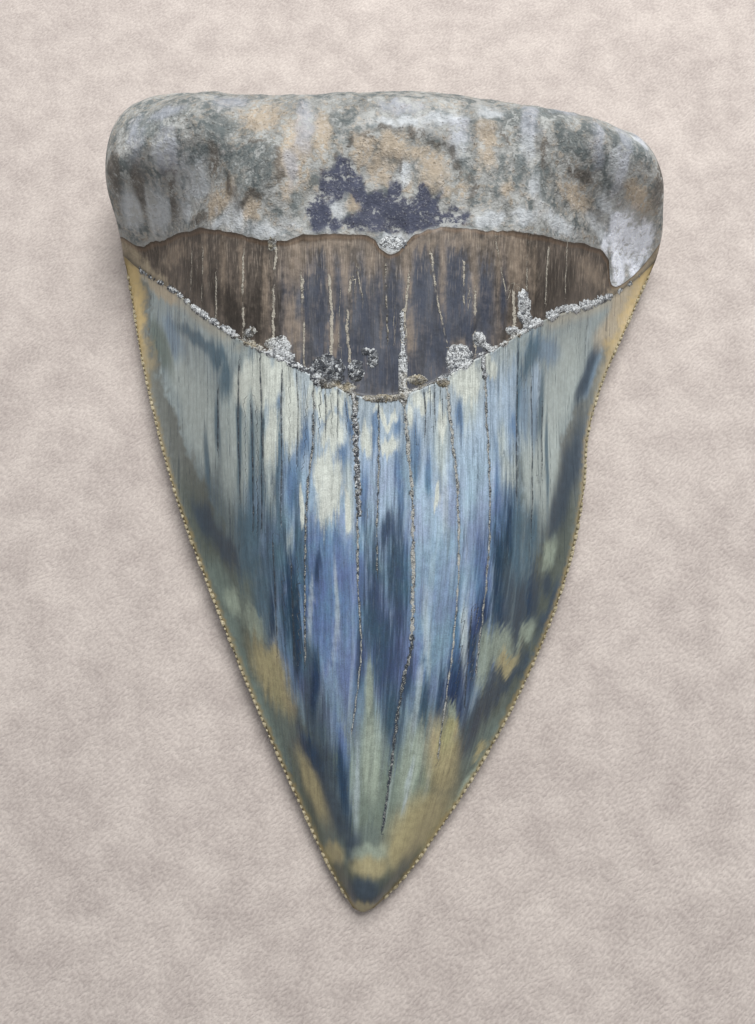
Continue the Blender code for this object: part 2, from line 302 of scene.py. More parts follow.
# Colour strokes on the enamel: x, y, half width, half length, lean (x per y).
enamelStrokes = {
    "paleGreen": [
        (-20.5, 3.0, 1.6, 7.5, 0.0), (-25.5, 7.0, 2.8, 6.5, -0.3), (-15.2, -2.0, 1.7, 6.5, 0.0),
        (-18.3, 1.6, 0.7, 8.0, 0.0), (21.8, 3.0, 1.9, 9.5, 0.1), (18.7, -1.2, 1.5, 5.0, 0.0),
        (24.6, 13.0, 2.4, 6.5, 0.3), (17.6, -13.0, 0.4, 5.4, 0.0), (15.9, -15.4, 0.35, 4.5, 0.0),
        (9.3, -24.0, 0.5, 4.5, 0.05), (-12.6, -11.4, 0.5, 2.0, 0.0), (6.3, 0.6, 0.9, 4.6, 0.0),
        (15.4, -2.4, 1.0, 2.8, 0.0), (14.4, 1.0, 0.7, 1.8, 0.0), (-4.8, -6.0, 0.6, 3.4, 0.0),
        (10.0, 4.4, 1.0, 3.6, 0.0), (-29.2, 14.0, 1.4, 5.0, -0.3), (7.3, -27.0, 0.3, 3.4, 0.1),
    ],
    "sky": [
        (-1.2, -4.6, 2.4, 4.8, 0.0), (4.6, -7.0, 1.4, 5.0, 0.0), (15.6, 6.5, 1.7, 4.6, 0.0),
        (12.9, 4.0, 1.1, 7.0, 0.0), (10.3, -1.6, 1.7, 5.6, 0.0), (19.4, 9.6, 0.8, 3.4, 0.0),
        (-10.9, -8.0, 0.5, 2.0, 0.0), (13.4, -2.0, 0.8, 3.6, 0.0), (-3.0, -11.0, 0.4, 3.4, 0.0),
    ],
    "dusk": [
        (10.8, -12.0, 0.9, 4.0, 0.0), (17.7, 6.2, 0.9, 4.6, 0.0), (19.4, 5.0, 0.7, 3.6, 0.0),
        (6.6, -24.0, 1.4, 6.0, 0.08), (20.6, 14.8, 2.4, 1.5, 0.6), (-7.2, -31.0, 1.2, 5.0, 0.0),
        (15.0, -6.0, 1.6, 2.4, 0.0), (-13.4, 1.0, 0.6, 5.0, 0.0), (-30.6, 20.0, 1.2, 3.6, -0.4),
        (29.2, 15.6, 0.9, 3.4, 0.4), (-17.0, -6.4, 1.2, 3.2, 0.0), (2.0, -2.6, 0.5, 3.4, 0.0),
    ],
    "midBlue": [
        (-8.2, -16.6, 4.7, 7.2, 0.0), (-11.9, -3.8, 1.0, 3.6, 0.0), (-10.5, 0.8, 0.8, 2.4, 0.0),
        (-6.0, -1.6, 1.0, 2.4, 0.0), (-7.2, -11.6, 2.8, 2.0, 0.0), (-1.7, 1.2, 0.5, 2.8, 0.0),
        (8.7, 3.0, 0.6, 2.0, 0.0), (3.3, -0.4, 0.6, 2.3, 0.0), (4.9, -3.2, 0.4, 2.6, 0.0),
        (-13.4, 4.8, 0.4, 1.6, 0.0), (-4.8, 3.2, 0.5, 1.6, 0.0), (-7.6, 2.8, 0.4, 1.2, 0.0),
        (-2.9, -6.0, 0.4, 4.2, 0.0), (1.2, -4.6, 0.5, 4.4, 0.0), (7.9, -26.0, 0.7, 6.0, 0.1),
        (11.6, -17.6, 1.2, 5.4, 0.0), (-5.7, -37.0, 0.6, 5.0, -0.12), (13.7, -4.6, 0.5, 4.0, 0.0),
        (14.4, -10.0, 2.0, 4.2, 0.0), (2.0, -15.0, 0.5, 6.0, 0.0), (-3.6, -16.0, 0.6, 7.0, 0.0),
        (16.0, 3.6, 0.5, 2.4, 0.0), (0.9, 3.0, 0.5, 1.4, 0.0),
    ],
    "greenGrey": [
        (-21.8, -15.6, 1.5, 4.0, -0.5), (-16.2, -31.5, 1.3, 6.0, -0.5), (-13.0, -33.0, 1.4, 3.8, -0.4),
        (-2.3, -32.0, 0.6, 3.4, 0.0), (-32.6, 19.4, 1.2, 4.4, -0.4), (11.8, -35.2, 2.3, 3.6, 0.6),
        (-6.8, -46.5, 1.2, 3.0, -0.3), (15.4, -34.0, 0.9, 3.0, 0.6), (-18.6, -16.6, 1.3, 3.4, -0.3),
        (-12.0, -44.0, 1.0, 5.0, -0.5), (-19.8, -24.6, 1.0, 3.0, -0.5), (9.6, -43.0, 1.0, 4.0, 0.7),
        (-20.6, -20.6, 1.1, 2.6, -0.4), (-2.6, -46.4, 1.8, 1.5, 0.0),
    ],
    "teal": [
        (-25.4, 16.4, 0.9, 4.4, -0.94), (-22.6, 13.2, 1.2, 2.2, -0.6), (-21.2, 9.6, 1.0, 2.2, 0.0),
        (-19.2, 3.0, 0.35, 7.0, 0.0), (-17.4, -1.5, 0.45, 5.0, 0.0), (-16.0, -1.0, 0.3, 8.0, 0.0),
        (-22.4, 5.0, 0.3, 3.5, 0.0), (-13.8, -4.0, 0.35, 7.0, 0.0), (16.7, -13.5, 2.3, 7.2, 0.0),
        (-18.0, -10.6, 2.2, 4.6, 0.0), (-14.8, -12.4, 1.9, 6.4, 0.0), (-16.2, -17.6, 1.4, 4.0, 0.0),
        (-11.0, -11.0, 0.8, 6.0, 0.0), (18.9, -8.6, 0.8, 3.4, 0.0), (20.4, 8.0, 0.4, 5.0, 0.0),
        (21.4, 1.0, 0.3, 6.0, 0.0), (16.8, 7.6, 0.3, 5.0, 0.0), (18.6, 13.4, 1.0, 2.4, 0.3),
        (-24.4, 1.0, 0.5, 4.0, 0.0), (-12.4, 4.0, 0.25, 5.0, 0.0),
    ],
    "slate": [
        (-24.8, -6.4, 1.3, 3.0, -0.55), (-22.0, -10.2, 1.2, 3.0, -0.5), (25.2, 0.4, 1.6, 8.6, 0.32),
        (23.0, -5.4, 1.2, 3.8, 0.25), (16.9, -19.5, 1.3, 4.6, 0.05), (19.1, -17.2, 0.9, 3.4, 0.1),
        (14.6, -17.4, 1.3, 6.8, 0.0), (-9.4, -31.0, 1.4, 6.0, -0.15), (-8.4, -38.0, 2.1, 4.4, -0.4),
        (-6.5, -43.0, 1.5, 4.2, -0.35), (-10.8, -37.0, 1.1, 2.2, -0.5), (-10.0, -25.6, 0.8, 4.0, -0.1),
        (10.2, -33.6, 1.2, 3.4, 0.35), (15.0, -28.2, 1.3, 3.6, 1.0), (-3.2, -52.8, 2.2, 1.5, 0.0),
        (21.3, -15.0, 0.8, 1.2, 0.0), (22.2, -8.6, 0.8, 1.0, 0.0), (21.6, -18.0, 0.8, 3.8, 0.5),
        (28.6, 15.0, 0.7, 4.6, 0.4), (-4.6, -47.2, 1.1, 1.8, 0.0), (-11.6, -21.6, 0.7, 5.0, 0.0),
        (12.6, -29.0, 0.6, 2.0, 0.6),
    ],
    "navy": [
        (-1.6, -19.5, 1.6, 9.2, 0.0), (0.9, -16.5, 1.3, 8.4, 0.0), (-0.6, -24.5, 2.1, 6.4, 0.0),
        (0.4, -31.5, 1.3, 4.6, 0.0), (-0.2, -10.6, 1.1, 2.2, 0.0), (-12.5, -18.5, 0.9, 6.6, 0.0),
        (-11.4, -22.0, 0.6, 5.0, 0.0), (11.8, -20.4, 0.8, 4.6, 0.0), (13.9, -13.6, 0.8, 3.6, 0.0),
        (13.9, -19.0, 0.9, 5.0, 0.0), (8.0, -30.0, 1.5, 4.4, 0.08), (6.3, -30.6, 0.6, 3.6, 0.1),
        (4.0, -31.0, 0.8, 3.4, 0.08), (10.2, -24.5, 0.6, 5.0, 0.1), (2.1, -28.6, 0.6, 3.0, 0.2),
        (15.3, -9.4, 0.6, 3.2, 0.0), (-15.0, -20.0, 0.4, 3.4, 0.0), (-3.5, -25.0, 0.5, 3.4, 0.0),
        (12.7, -25.5, 0.4, 2.8, 0.1), (-9.9, -36.4, 0.9, 2.4, -0.4), (-5.6, -40.0, 0.6, 4.4, -0.2),
        (-9.2, -28.0, 0.4, 3.4, 0.0), (-8.8, -14.6, 0.5, 1.8, 0.0), (18.4, -17.0, 0.4, 2.4, 0.1),
    ],
    "lichen": [
        (-2.5, -29.4, 0.45, 3.4, 0.0), (-2.2, -37.4, 1.3, 4.6, 0.0), (2.7, -37.4, 1.4, 4.4, 0.2),
        (11.9, -25.2, 1.0, 3.6, 0.1), (14.2, -23.8, 1.8, 2.2, 0.3), (21.7, -11.2, 1.0, 2.2, 0.3),
        (18.0, -21.8, 0.8, 2.2, 0.4), (-17.4, -20.8, 1.2, 2.2, -0.3), (-2.0, -48.2, 2.4, 1.0, 0.0),
        (10.4, -40.4, 0.9, 2.6, 0.6), (-20.6, -17.4, 1.2, 1.6, -0.4), (7.6, -31.8, 0.5, 1.6, 0.0),
    ],
    "olive": [
        (-15.0, -27.2, 1.8, 4.2, -0.5), (-9.6, -40.6, 1.0, 4.0, -0.45), (-6.8, -48.6, 1.0, 1.2, 0.0),
        (15.4, -25.2, 1.4, 1.3, 0.5), (-3.2, -55.0, 1.5, 0.7, 0.0), (6.6, -37.2, 2.1, 4.6, 0.0),
        (7.6, -33.4, 0.9, 1.3, 0.0), (3.8, -44.8, 3.2, 3.8, 0.5), (-2.4, -49.8, 2.2, 1.2, 0.0),
        (1.4, -47.4, 1.5, 2.4, 0.4), (11.6, -36.4, 0.6, 1.2, 0.5),
    ],
    "beige": [
        (33.6, 24.4, 1.8, 4.6, 0.62), (36.2, 29.5, 1.8, 5.2, 0.6), (-34.4, 30.0, 1.2, 3.4, -0.7),
        (-31.6, 26.2, 1.0, 2.6, -0.8), (36.8, 31.6, 1.6, 4.5, 0.9), (-38.0, 33.8, 1.4, 2.8, -0.8),
    ],
    "cream": [
        (-15.2, 8.4, 3.2, 2.9, 0.0), (-18.4, 8.4, 1.4, 2.6, 0.0), (-12.2, 4.2, 1.2, 4.4, 0.0),
        (-7.4, 5.4, 2.7, 1.3, 0.0), (-7.0, 1.6, 1.7, 1.9, 0.0), (-7.6, -4.8, 1.5, 4.3, 0.0),
        (-9.0, -3.2, 0.5, 2.2, 0.0), (-10.7, -7.2, 0.35, 2.0, 0.0), (-3.0, 0.5, 0.8, 1.4, 0.0),
        (-0.5, 4.0, 1.5, 0.8, 0.0), (0.0, 0.2, 1.2, 1.3, 0.0), (3.8, 5.2, 1.2, 1.5, 0.0),
        (5.8, -6.3, 0.4, 0.9, 0.0), (9.6, 8.2, 1.8, 2.1, 0.0), (6.3, 3.4, 0.7, 1.7, 0.0),
        (12.6, 10.6, 1.0, 1.3, 0.0), (-5.2, -7.4, 0.4, 1.6, 0.0), (2.4, 2.6, 0.4, 1.4, 0.0),
        (-14.8, 2.0, 0.9, 3.4, 0.0),
    ],
    # Painted highlights: pale streaks of gloss along the ridges near the tip and across the blade's middle.
    "paintedSheen": [
        (-4.0, -40.0, 0.28, 5.0, 0.0), (2.2, -40.2, 0.26, 3.0, 0.2), (3.2, -30.0, 0.3, 5.0, 0.12),
        (-6.6, -20.0, 0.3, 5.0, 0.0), (4.6, -22.0, 0.35, 5.0, 0.0), (9.4, -22.0, 0.3, 4.0, 0.05),
        (-9.6, -20.0, 0.25, 4.0, 0.0), (6.9, -6.0, 0.4, 5.0, 0.0),
    ],
}

# Colour strokes on the smooth band behind the enamel, written in the same way.
bandStrokes = {
    "slateBlue": [
        (3.9, 19.5, 0.9, 5.2, 0.0), (8.0, 19.5, 1.3, 5.4, 0.0), (0.5, 15.5, 0.9, 6.4, 0.0),
        (12.0, 17.6, 0.9, 3.4, 0.0), (-3.0, 15.0, 0.9, 5.6, 0.0), (-6.2, 16.0, 0.6, 5.0, 0.0),
        (-8.6, 17.0, 0.7, 6.0, 0.0), (-10.2, 17.5, 0.5, 4.6, 0.0), (6.2, 12.6, 2.6, 3.2, 0.0),
        (-4.6, 11.6, 2.4, 2.4, 0.0), (0.8, 9.0, 3.2, 2.2, 0.0), (-12.8, 19.0, 0.7, 4.6, 0.0),
        (9.6, 14.4, 1.4, 2.0, 0.0), (14.4, 19.4, 0.5, 3.6, 0.0), (-1.4, 19.0, 0.4, 3.6, 0.0),
        (5.9, 19.0, 0.4, 4.6, 0.0),
    ],
    "rust": [
        (-11.8, 22.0, 1.6, 3.4, 0.0), (-8.0, 24.2, 3.6, 1.0, 0.0), (3.6, 24.2, 3.4, 0.9, 0.0),
        (9.5, 24.8, 3.4, 1.0, 0.0), (10.6, 21.0, 0.5, 3.6, 0.0), (-2.2, 22.6, 0.9, 2.6, 0.0),
        (-11.4, 13.6, 1.0, 2.2, 0.0), (6.6, 21.4, 0.5, 3.4, 0.0), (-6.8, 13.0, 0.7, 1.6, 0.0),
        (8.8, 11.6, 0.9, 1.5, 0.0), (2.6, 13.4, 0.5, 2.6, 0.0), (-12.4, 16.0, 0.8, 2.4, 0.0),
        (2.2, 20.6, 0.5, 3.4, 0.0), (16.0, 23.6, 1.8, 3.0, 0.0), (-5.4, 21.0, 0.5, 3.6, 0.0),
        (-7.2, 20.6, 0.4, 3.0, 0.0), (-30.0, 30.6, 2.0, 1.4, -0.8), (-24.2, 27.0, 0.4, 3.0, 0.0),
        (-21.4, 24.4, 0.4, 3.4, 0.0), (-18.6, 22.0, 0.4, 3.6, 0.0), (28.6, 27.8, 2.4, 1.2, 0.6),
        (13.6, 22.6, 0.4, 2.6, 0.0), (-15.4, 20.0, 0.4, 4.0, 0.0), (18.6, 23.0, 0.4, 2.4, 0.0),
    ],
    "dark": [
        (-20.4, 18.6, 1.0, 3.8, -0.3), (-22.6, 21.6, 0.7, 3.0, -0.2), (-26.4, 25.4, 0.9, 2.4, -0.3),
        (21.2, 22.6, 1.4, 3.2, 0.2), (-16.8, 16.6, 1.0, 3.0, 0.0), (24.0, 24.4, 1.2, 2.6, 0.3),
        (-24.8, 22.6, 0.4, 2.8, -0.2), (-18.2, 17.0, 0.5, 2.6, 0.0), (19.0, 21.4, 0.6, 2.6, 0.0),
        (-13.8, 15.6, 0.6, 3.0, 0.0), (31.6, 29.4, 0.9, 0.9, 0.0),
    ],
}

# Colour strokes on the root, written in the same way.
rootStrokes = {
    "tan": [
        (-11.6, 35.4, 1.9, 4.6, 0.0), (-8.6, 37.0, 1.2, 3.4, 0.0), (-17.0, 28.6, 1.5, 1.2, 0.0),
        (-16.0, 41.0, 2.6, 2.4, 0.0), (0.6, 36.2, 1.8, 1.6, 0.0), (5.4, 33.6, 1.5, 2.5, 0.0),
        (-3.2, 35.6, 1.5, 1.5, 0.0), (12.0, 36.4, 1.1, 2.5, 0.0), (9.0, 31.0, 0.7, 1.3, 0.0),
        (-1.2, 33.4, 1.3, 1.7, 0.0), (3.2, 35.4, 1.3, 1.0, 0.0), (-4.4, 29.0, 0.8, 1.3, 0.0),
        (-21.6, 31.8, 2.2, 1.6, -0.3), (24.4, 33.4, 2.6, 1.2, 0.0), (34.4, 36.6, 2.6, 0.8, 0.0),
        (14.6, 30.6, 0.6, 1.2, 0.0), (-12.6, 30.6, 0.9, 1.2, 0.0), (2.6, 31.4, 0.8, 0.8, 0.0),
        (7.4, 30.4, 0.7, 0.9, 0.0),
    ],
    "moss": [
        (-17.0, 33.4, 3.3, 3.5, 0.0), (-21.6, 39.4, 2.2, 2.0, 0.0), (-30.6, 42.8, 5.0, 2.6, 0.0),
        (9.6, 34.2, 0.8, 2.2, 0.0), (5.4, 36.8, 1.8, 0.4, 0.0), (16.2, 34.6, 0.8, 2.6, 0.0),
        (19.4, 33.0, 1.0, 2.0, 0.0), (28.4, 36.6, 2.0, 1.1, 0.0), (15.4, 40.2, 1.8, 1.4, 0.0),
        (23.6, 37.6, 2.0, 1.1, 0.0), (8.6, 31.8, 0.5, 1.5, 0.0), (-5.0, 36.4, 0.4, 1.4, 0.0),
        (0.2, 38.3, 2.2, 0.3, 0.0), (-11.4, 28.4, 0.9, 1.5, 0.0), (-35.6, 39.4, 2.2, 0.9, -0.3),
        (20.6, 41.4, 2.4, 1.6, 0.0), (31.6, 40.6, 3.0, 2.0, 0.0), (-24.8, 37.2, 1.6, 0.6, 0.0),
        (14.0, 33.4, 0.5, 1.6, 0.0), (-6.4, 39.4, 1.4, 1.4, 0.0),
    ],
    "white": [
        (-36.2, 36.8, 1.3, 1.2, -0.4), (-31.8, 35.4, 1.5, 1.4, -0.4), (-27.4, 33.6, 1.2, 1.0, -0.4),
        (-25.0, 35.2, 1.8, 1.7, -0.4), (-29.0, 38.8, 1.8, 0.9, 0.0), (-19.6, 28.8, 1.1, 1.9, 0.0),
        (-15.4, 25.9, 2.2, 1.0, 0.0), (-21.6, 28.9, 1.8, 0.6, -0.4), (-6.3, 27.8, 0.9, 1.7, 0.0),
        (2.0, 33.0, 1.0, 1.0, 0.0), (2.4, 38.9, 3.6, 0.9, 0.0), (8.6, 37.2, 1.3, 1.6, 0.0),
        (6.6, 39.8, 3.0, 1.0, 0.0), (17.5, 36.6, 0.9, 1.7, 0.0), (12.8, 27.3, 2.0, 0.9, 0.0),
        (22.0, 29.4, 3.0, 0.8, 0.0), (28.4, 32.6, 1.6, 0.8, 0.0), (29.6, 34.6, 1.2, 0.8, 0.0),
        (30.4, 37.8, 1.3, 1.2, 0.0), (0.6, 24.1, 1.9, 1.1, 0.0), (17.0, 28.2, 1.6, 0.8, 0.0),
        (33.6, 42.4, 1.4, 0.8, 0.0), (-12.4, 26.4, 1.4, 0.8, 0.0), (-8.4, 25.6, 1.6, 0.4, 0.0),
        (18.4, 31.6, 0.6, 1.6, 0.0), (12.6, 41.2, 1.6, 0.9, 0.0),
    ],
    "bright": [
        (33.7, 30.6, 1.3, 2.8, 0.05), (33.9, 33.6, 3.0, 1.9, 0.0), (37.4, 34.6, 1.5, 1.3, 0.0),
        (37.0, 32.0, 0.8, 1.2, 0.0), (33.9, 29.3, 0.8, 1.2, 0.0), (30.6, 31.6, 0.8, 0.9, 0.0),
    ],
    "haze": [
        (-28.6, 38.8, 1.2, 2.4, 0.0), (-10.5, 38.6, 1.0, 3.6, 0.0), (30.8, 40.4, 0.9, 4.2, 0.0),
        (-33.6, 42.0, 1.2, 2.6, 0.0), (-29.0, 43.6, 2.0, 1.2, 0.0), (17.6, 40.4, 1.0, 2.6, 0.0),
        (22.6, 44.0, 1.4, 2.2, 0.0), (34.4, 44.0, 1.0, 2.4, 0.0), (-20.4, 45.0, 2.0, 1.6, 0.0),
        (8.6, 38.4, 1.3, 1.6, 0.0), (1.4, 41.6, 2.4, 1.2, 0.0), (26.8, 38.8, 0.9, 2.4, 0.0),
        (-12.0, 33.0, 0.6, 2.2, 0.0),
    ],
    "brown": [
        (-0.4, 38.1, 2.1, 0.34, 0.0), (-2.9, 37.1, 0.9, 0.4, 0.0), (3.3, 37.7, 0.9, 0.34, 0.0),
        (5.7, 36.9, 1.6, 0.36, 0.0), (7.7, 36.0, 0.5, 0.9, 0.0), (8.5, 34.0, 0.45, 1.5, 0.0),
        (-5.0, 36.1, 0.45, 0.8, 0.0), (-13.4, 33.2, 0.35, 2.6, 0.0), (-17.2, 30.0, 2.6, 0.3, 0.0),
        (-20.3, 32.6, 0.3, 1.4, 0.0), (-16.8, 36.6, 2.6, 0.36, 0.0), (-13.8, 34.8, 0.36, 1.8, 0.0),
        (1.3, 33.6, 0.25, 1.3, 0.0), (10.4, 31.0, 0.35, 1.6, 0.0), (-24.6, 31.4, 1.4, 1.0, -0.6),
        (-33.8, 37.4, 1.2, 1.6, 0.0), (-29.2, 35.6, 0.8, 1.7, 0.0), (-22.4, 36.6, 0.8, 1.6, 0.0),
        (24.8, 35.4, 2.6, 0.5, 0.0), (14.2, 37.0, 0.35, 1.8, 0.0), (-6.3, 34.2, 0.3, 1.4, 0.0),
        (19.6, 36.2, 0.4, 1.8, 0.0), (-37.6, 40.0, 1.2, 2.0, 0.0), (37.6, 39.6, 1.0, 2.0, 0.0),
    ],
    "violet": [
        (-8.6, 27.4, 1.3, 2.4, 0.0), (-7.5, 31.2, 1.2, 1.9, 0.0), (-5.6, 32.4, 1.2, 2.2, 0.0),
        (-3.9, 31.0, 1.1, 1.8, 0.0), (-1.8, 28.2, 1.9, 2.7, 0.0), (-4.4, 26.2, 1.4, 1.2, 0.0),
        (1.0, 28.2, 2.6, 2.7, 0.0), (4.3, 27.8, 2.3, 2.5, 0.0), (7.2, 27.1, 2.3, 1.4, 0.0),
        (0.5, 30.9, 0.9, 1.2, 0.0), (4.4, 30.3, 0.8, 1.2, 0.0), (-6.6, 25.9, 1.2, 0.7, 0.0),
        (-1.4, 26.2, 1.6, 1.0, 0.0), (3.4, 26.4, 1.6, 0.9, 0.0), (-6.8, 29.8, 0.6, 1.2, 0.0),
    ],
}


# Colours of the under side: how fast the noise climbs with height, its level, swing
# and size, and the strongest each colour gets.
underSide = {
    "climb": (1.1, 2.6), "level": 0.22, "swing": 1.1, "size": (5.0, 14.0), "most": 0.8,
    "mostOf": {
        "tan": 0.55, "moss": 0.6, "white": 0.55, "haze": 0.5, "brown": 0.4, "bright": 0.2, "violet": 0.0,
    },
}

# How far a stroke's outline wanders sideways and lengthways, and over what size.
fibreWander = {"side": (0.5, 2.2, 8.0), "end": (2.2, 1.0, 7.0), "tuft": (1.5, 0.36, 5.0)}
dripWander = {"side": (0.35, 1.6, 5.0), "end": (1.4, 0.8, 4.0), "tuft": (1.0, 0.3, 3.0)}
stoneWander = {"side": (1.1, 1.7, 1.7), "end": (1.1, 1.5, 1.9), "tuft": (0.5, 0.6, 0.7)}


def strokeField(x, y, strokes, wander=stoneWander, loose=1.0):
    # 1 in the middle of a stroke, 0.5 at its outline, fading to 0 outside.
    side, end, tuft = wander["side"], wander["end"], wander["tuft"]
    bentX = x + side[0] * noiseAt(x, y, *side[1:], 61.0)
    wandered = end[0] * noiseAt(x, y, *end[1:], 62.0) + tuft[0] * noiseAt(x, y, *tuft[1:], 63.0)
    bentY = y + loose * wandered
    field = np.zeros(np.shape(x))
    for centreX, centreY, halfWidth, halfLength, lean in strokes:
        along = bentY - centreY
        beside = bentX - centreX - lean * along
        apart = np.abs(beside / halfWidth) ** 2.4 + np.abs(along / halfLength) ** 2.4
        field = np.maximum(field, np.exp(-0.693 * apart))
    return field


# Cracks: (y, x) points, width at the top and the bottom, and how pale the filling is.
# All widths are narrowed together, and those of hairlines once more.
crackWobble = 0.13
crackNarrowing = 0.62
hairline = {"belowPale": 0.2, "bend": 3.2, "narrowing": 0.7}
openCrack = {"bend": 1.1, "narrowing": 1.0}
noCrackGap = 9.0
cracks = [
    {"path": [(6.2, -4.3), (0.0, -4.1), (-4.0, -3.9), (-8.2, -3.7)], "width": (1.0, 0.75), "pale": 0.45},
    {"path": [(-8.0, -3.9), (-15.0, -3.9), (-26.0, -3.5), (-30.0, -4.0), (-34.0, -4.6)],
     "width": (0.34, 0.16), "pale": 0.5},
    {"path": [(16.0, 1.6), (6.3, 1.8), (2.7, 2.1), (-1.6, 2.5), (-6.0, 2.8), (-18.0, 2.9), (-23.0, 2.75)],
     "width": (0.6, 0.55), "pale": 0.62},
    {"path": [(-22.6, 2.8), (-24.0, 2.7), (-27.6, 1.8), (-32.0, 1.0), (-37.5, 0.3), (-42.3, -0.4),
              (-45.5, -0.9)], "width": (0.62, 0.26), "pale": 0.24},
    {"path": [(7.6, 7.1), (1.3, 7.8), (-4.0, 8.4), (-9.4, 8.6), (-16.6, 8.5), (-22.3, 8.0), (-30.5, 6.9),
              (-37.0, 5.9)], "width": (0.5, 0.18), "pale": 0.62},
    {"path": [(11.0, 11.9), (3.0, 12.3), (-2.3, 12.6), (-9.4, 12.6), (-14.4, 12.3), (-20.0, 11.7),
              (-27.0, 10.8)], "width": (0.42, 0.2), "pale": 0.55},
    {"path": [(7.8, -9.3), (0.2, -9.5), (-4.0, -10.0), (-11.2, -10.4), (-25.5, -10.4)],
     "width": (0.36, 0.25), "pale": 0.42},
    {"path": [(4.6, -1.3), (-2.3, -1.3), (-9.4, -1.5), (-14.8, -1.5)], "width": (0.28, 0.22), "pale": 0.4},
    {"path": [(9.0, -13.3), (0.0, -13.4), (-9.0, -13.5)], "width": (0.24, 0.14), "pale": 0.1},
    {"path": [(11.0, -16.2), (2.0, -16.0), (-9.0, -16.2)], "width": (0.22, 0.14), "pale": 0.05},
    {"path": [(11.0, -19.1), (3.0, -19.3), (-5.0, -19.2)], "width": (0.26, 0.16), "pale": 0.05},
    {"path": [(6.0, -17.5), (-2.0, -17.3), (-9.0, -17.4)], "width": (0.2, 0.26), "pale": 0.05},
    {"path": [(9.0, -22.3), (2.0, -22.5)], "width": (0.16, 0.22), "pale": 0.05},
    {"path": [(9.4, -11.5), (4.0, -11.3), (-2.0, -11.5)], "width": (0.16, 0.1), "pale": 0.1},
    {"path": [(6.0, -7.9), (1.6, -7.8)], "width": (0.2, 0.1), "pale": 0.1},
    {"path": [(6.6, -6.3), (2.0, -6.4)], "width": (0.14, 0.1), "pale": 0.1},
    {"path": [(6.4, 4.3), (4.0, 4.5), (1.0, 4.4)], "width": (0.24, 0.1), "pale": 0.15},
    {"path": [(7.0, 5.6), (3.0, 5.7)], "width": (0.18, 0.1), "pale": 0.1},
    {"path": [(13.0, 16.6), (4.0, 16.5), (-5.0, 16.4)], "width": (0.14, 0.2), "pale": 0.1},
    {"path": [(10.0, 18.8), (0.0, 18.9), (-9.0, 18.7)], "width": (0.14, 0.22), "pale": 0.1},
    {"path": [(8.0, 20.7), (-1.0, 20.5)], "width": (0.16, 0.2), "pale": 0.1},
    {"path": [(-11.0, -14.6), (-24.0, -14.2)], "width": (0.2, 0.14), "pale": 0.05},
    {"path": [(-14.0, -12.2), (-25.0, -11.9)], "width": (0.22, 0.12), "pale": 0.05},
    {"path": [(-20.0, 10.2), (-31.0, 9.3)], "width": (0.2, 0.12), "pale": 0.1},
    {"path": [(24.0, -18.4), (19.4, -18.5), (13.4, -18.4)], "width": (0.3, 0.5), "pale": 0.8},
    {"path": [(23.0, -22.4), (18.0, -22.6)], "width": (0.34, 0.3), "pale": 0.7},
    {"path": [(27.6, -24.6), (22.0, -24.9)], "width": (0.26, 0.2), "pale": 0.6},
    {"path": [(29.0, -26.6), (24.0, -26.9)], "width": (0.24, 0.18), "pale": 0.6},
    {"path": [(24.0, -14.0), (18.4, -14.4), (12.6, -14.4)], "width": (0.4, 0.5), "pale": 0.85},
    {"path": [(20.0, -10.8), (9.8, -10.5)], "width": (0.5, 0.2), "pale": 0.75},
    {"path": [(20.4, -7.4), (15.0, -7.1), (10.4, -7.2)], "width": (0.36, 0.56), "pale": 0.95},
    {"path": [(19.6, -4.8), (14.0, -5.2), (9.8, -4.8)], "width": (0.4, 0.44), "pale": 0.75},
    {"path": [(20.6, -3.9), (17.6, -3.3)], "width": (0.3, 0.2), "pale": 0.8},
    {"path": [(21.6, -0.5), (13.0, -0.2)], "width": (0.26, 0.22), "pale": 0.55},
    {"path": [(20.0, 2.4), (15.6, 2.0), (12.4, 2.1)], "width": (0.4, 0.24), "pale": 0.8},
    {"path": [(22.6, 5.2), (17.6, 5.9), (12.6, 7.2)], "width": (0.4, 0.22), "pale": 0.75},
    {"path": [(22.0, 9.2), (17.4, 9.3)], "width": (0.32, 0.24), "pale": 0.75},
    {"path": [(18.4, 10.7), (12.6, 10.8)], "width": (0.44, 0.7), "pale": 1.05},
    {"path": [(24.6, 13.3), (19.6, 14.6)], "width": (0.3, 0.16), "pale": 0.7},
    {"path": [(19.6, 15.8), (15.6, 16.1)], "width": (0.56, 0.8), "pale": 1.05},
    {"path": [(26.4, 17.6), (20.0, 17.6)], "width": (0.3, 0.24), "pale": 0.6},
    {"path": [(26.6, 20.6), (20.6, 20.6)], "width": (0.36, 0.24), "pale": 0.8},
    {"path": [(28.0, 23.6), (23.0, 23.8)], "width": (0.26, 0.2), "pale": 0.7},
]


def crackFields(x, y):
    # Signed distance to the nearest crack's middle, its half width and its paleness.
    gap, half, pale = (np.full(np.shape(x), start) for start in (noCrackGap, 0.1, 0.0))
    for index, crack in enumerate(cracks):
        along = [point[0] for point in crack["path"]]
        middle = smoothCurve(crack["path"])(y)
        kind = hairline if crack["pale"] < hairline["belowPale"] else openCrack
        middle = middle + crackWobble * noiseAt(np.zeros_like(y), y, 1.0, kind["bend"], index * 3.7)
        share = np.clip((max(along) - y) / (max(along) - min(along)), 0.0, 1.0)
        width = crackNarrowing * (crack["width"][0] + (crack["width"][1] - crack["width"][0]) * share)
        width = width * kind["narrowing"]
        beyond = np.maximum(0.0, np.maximum(y - max(along), min(along) - y))
        reach = np.hypot(x - middle, beyond) * np.where(x < middle, -1.0, 1.0)
        nearer = np.abs(reach) < np.abs(gap)
        gap = np.where(nearer, reach, gap)
        half = np.where(nearer, width / 2, half)
        pale = np.where(nearer, crack["pale"], pale)
    return gap, half, pale


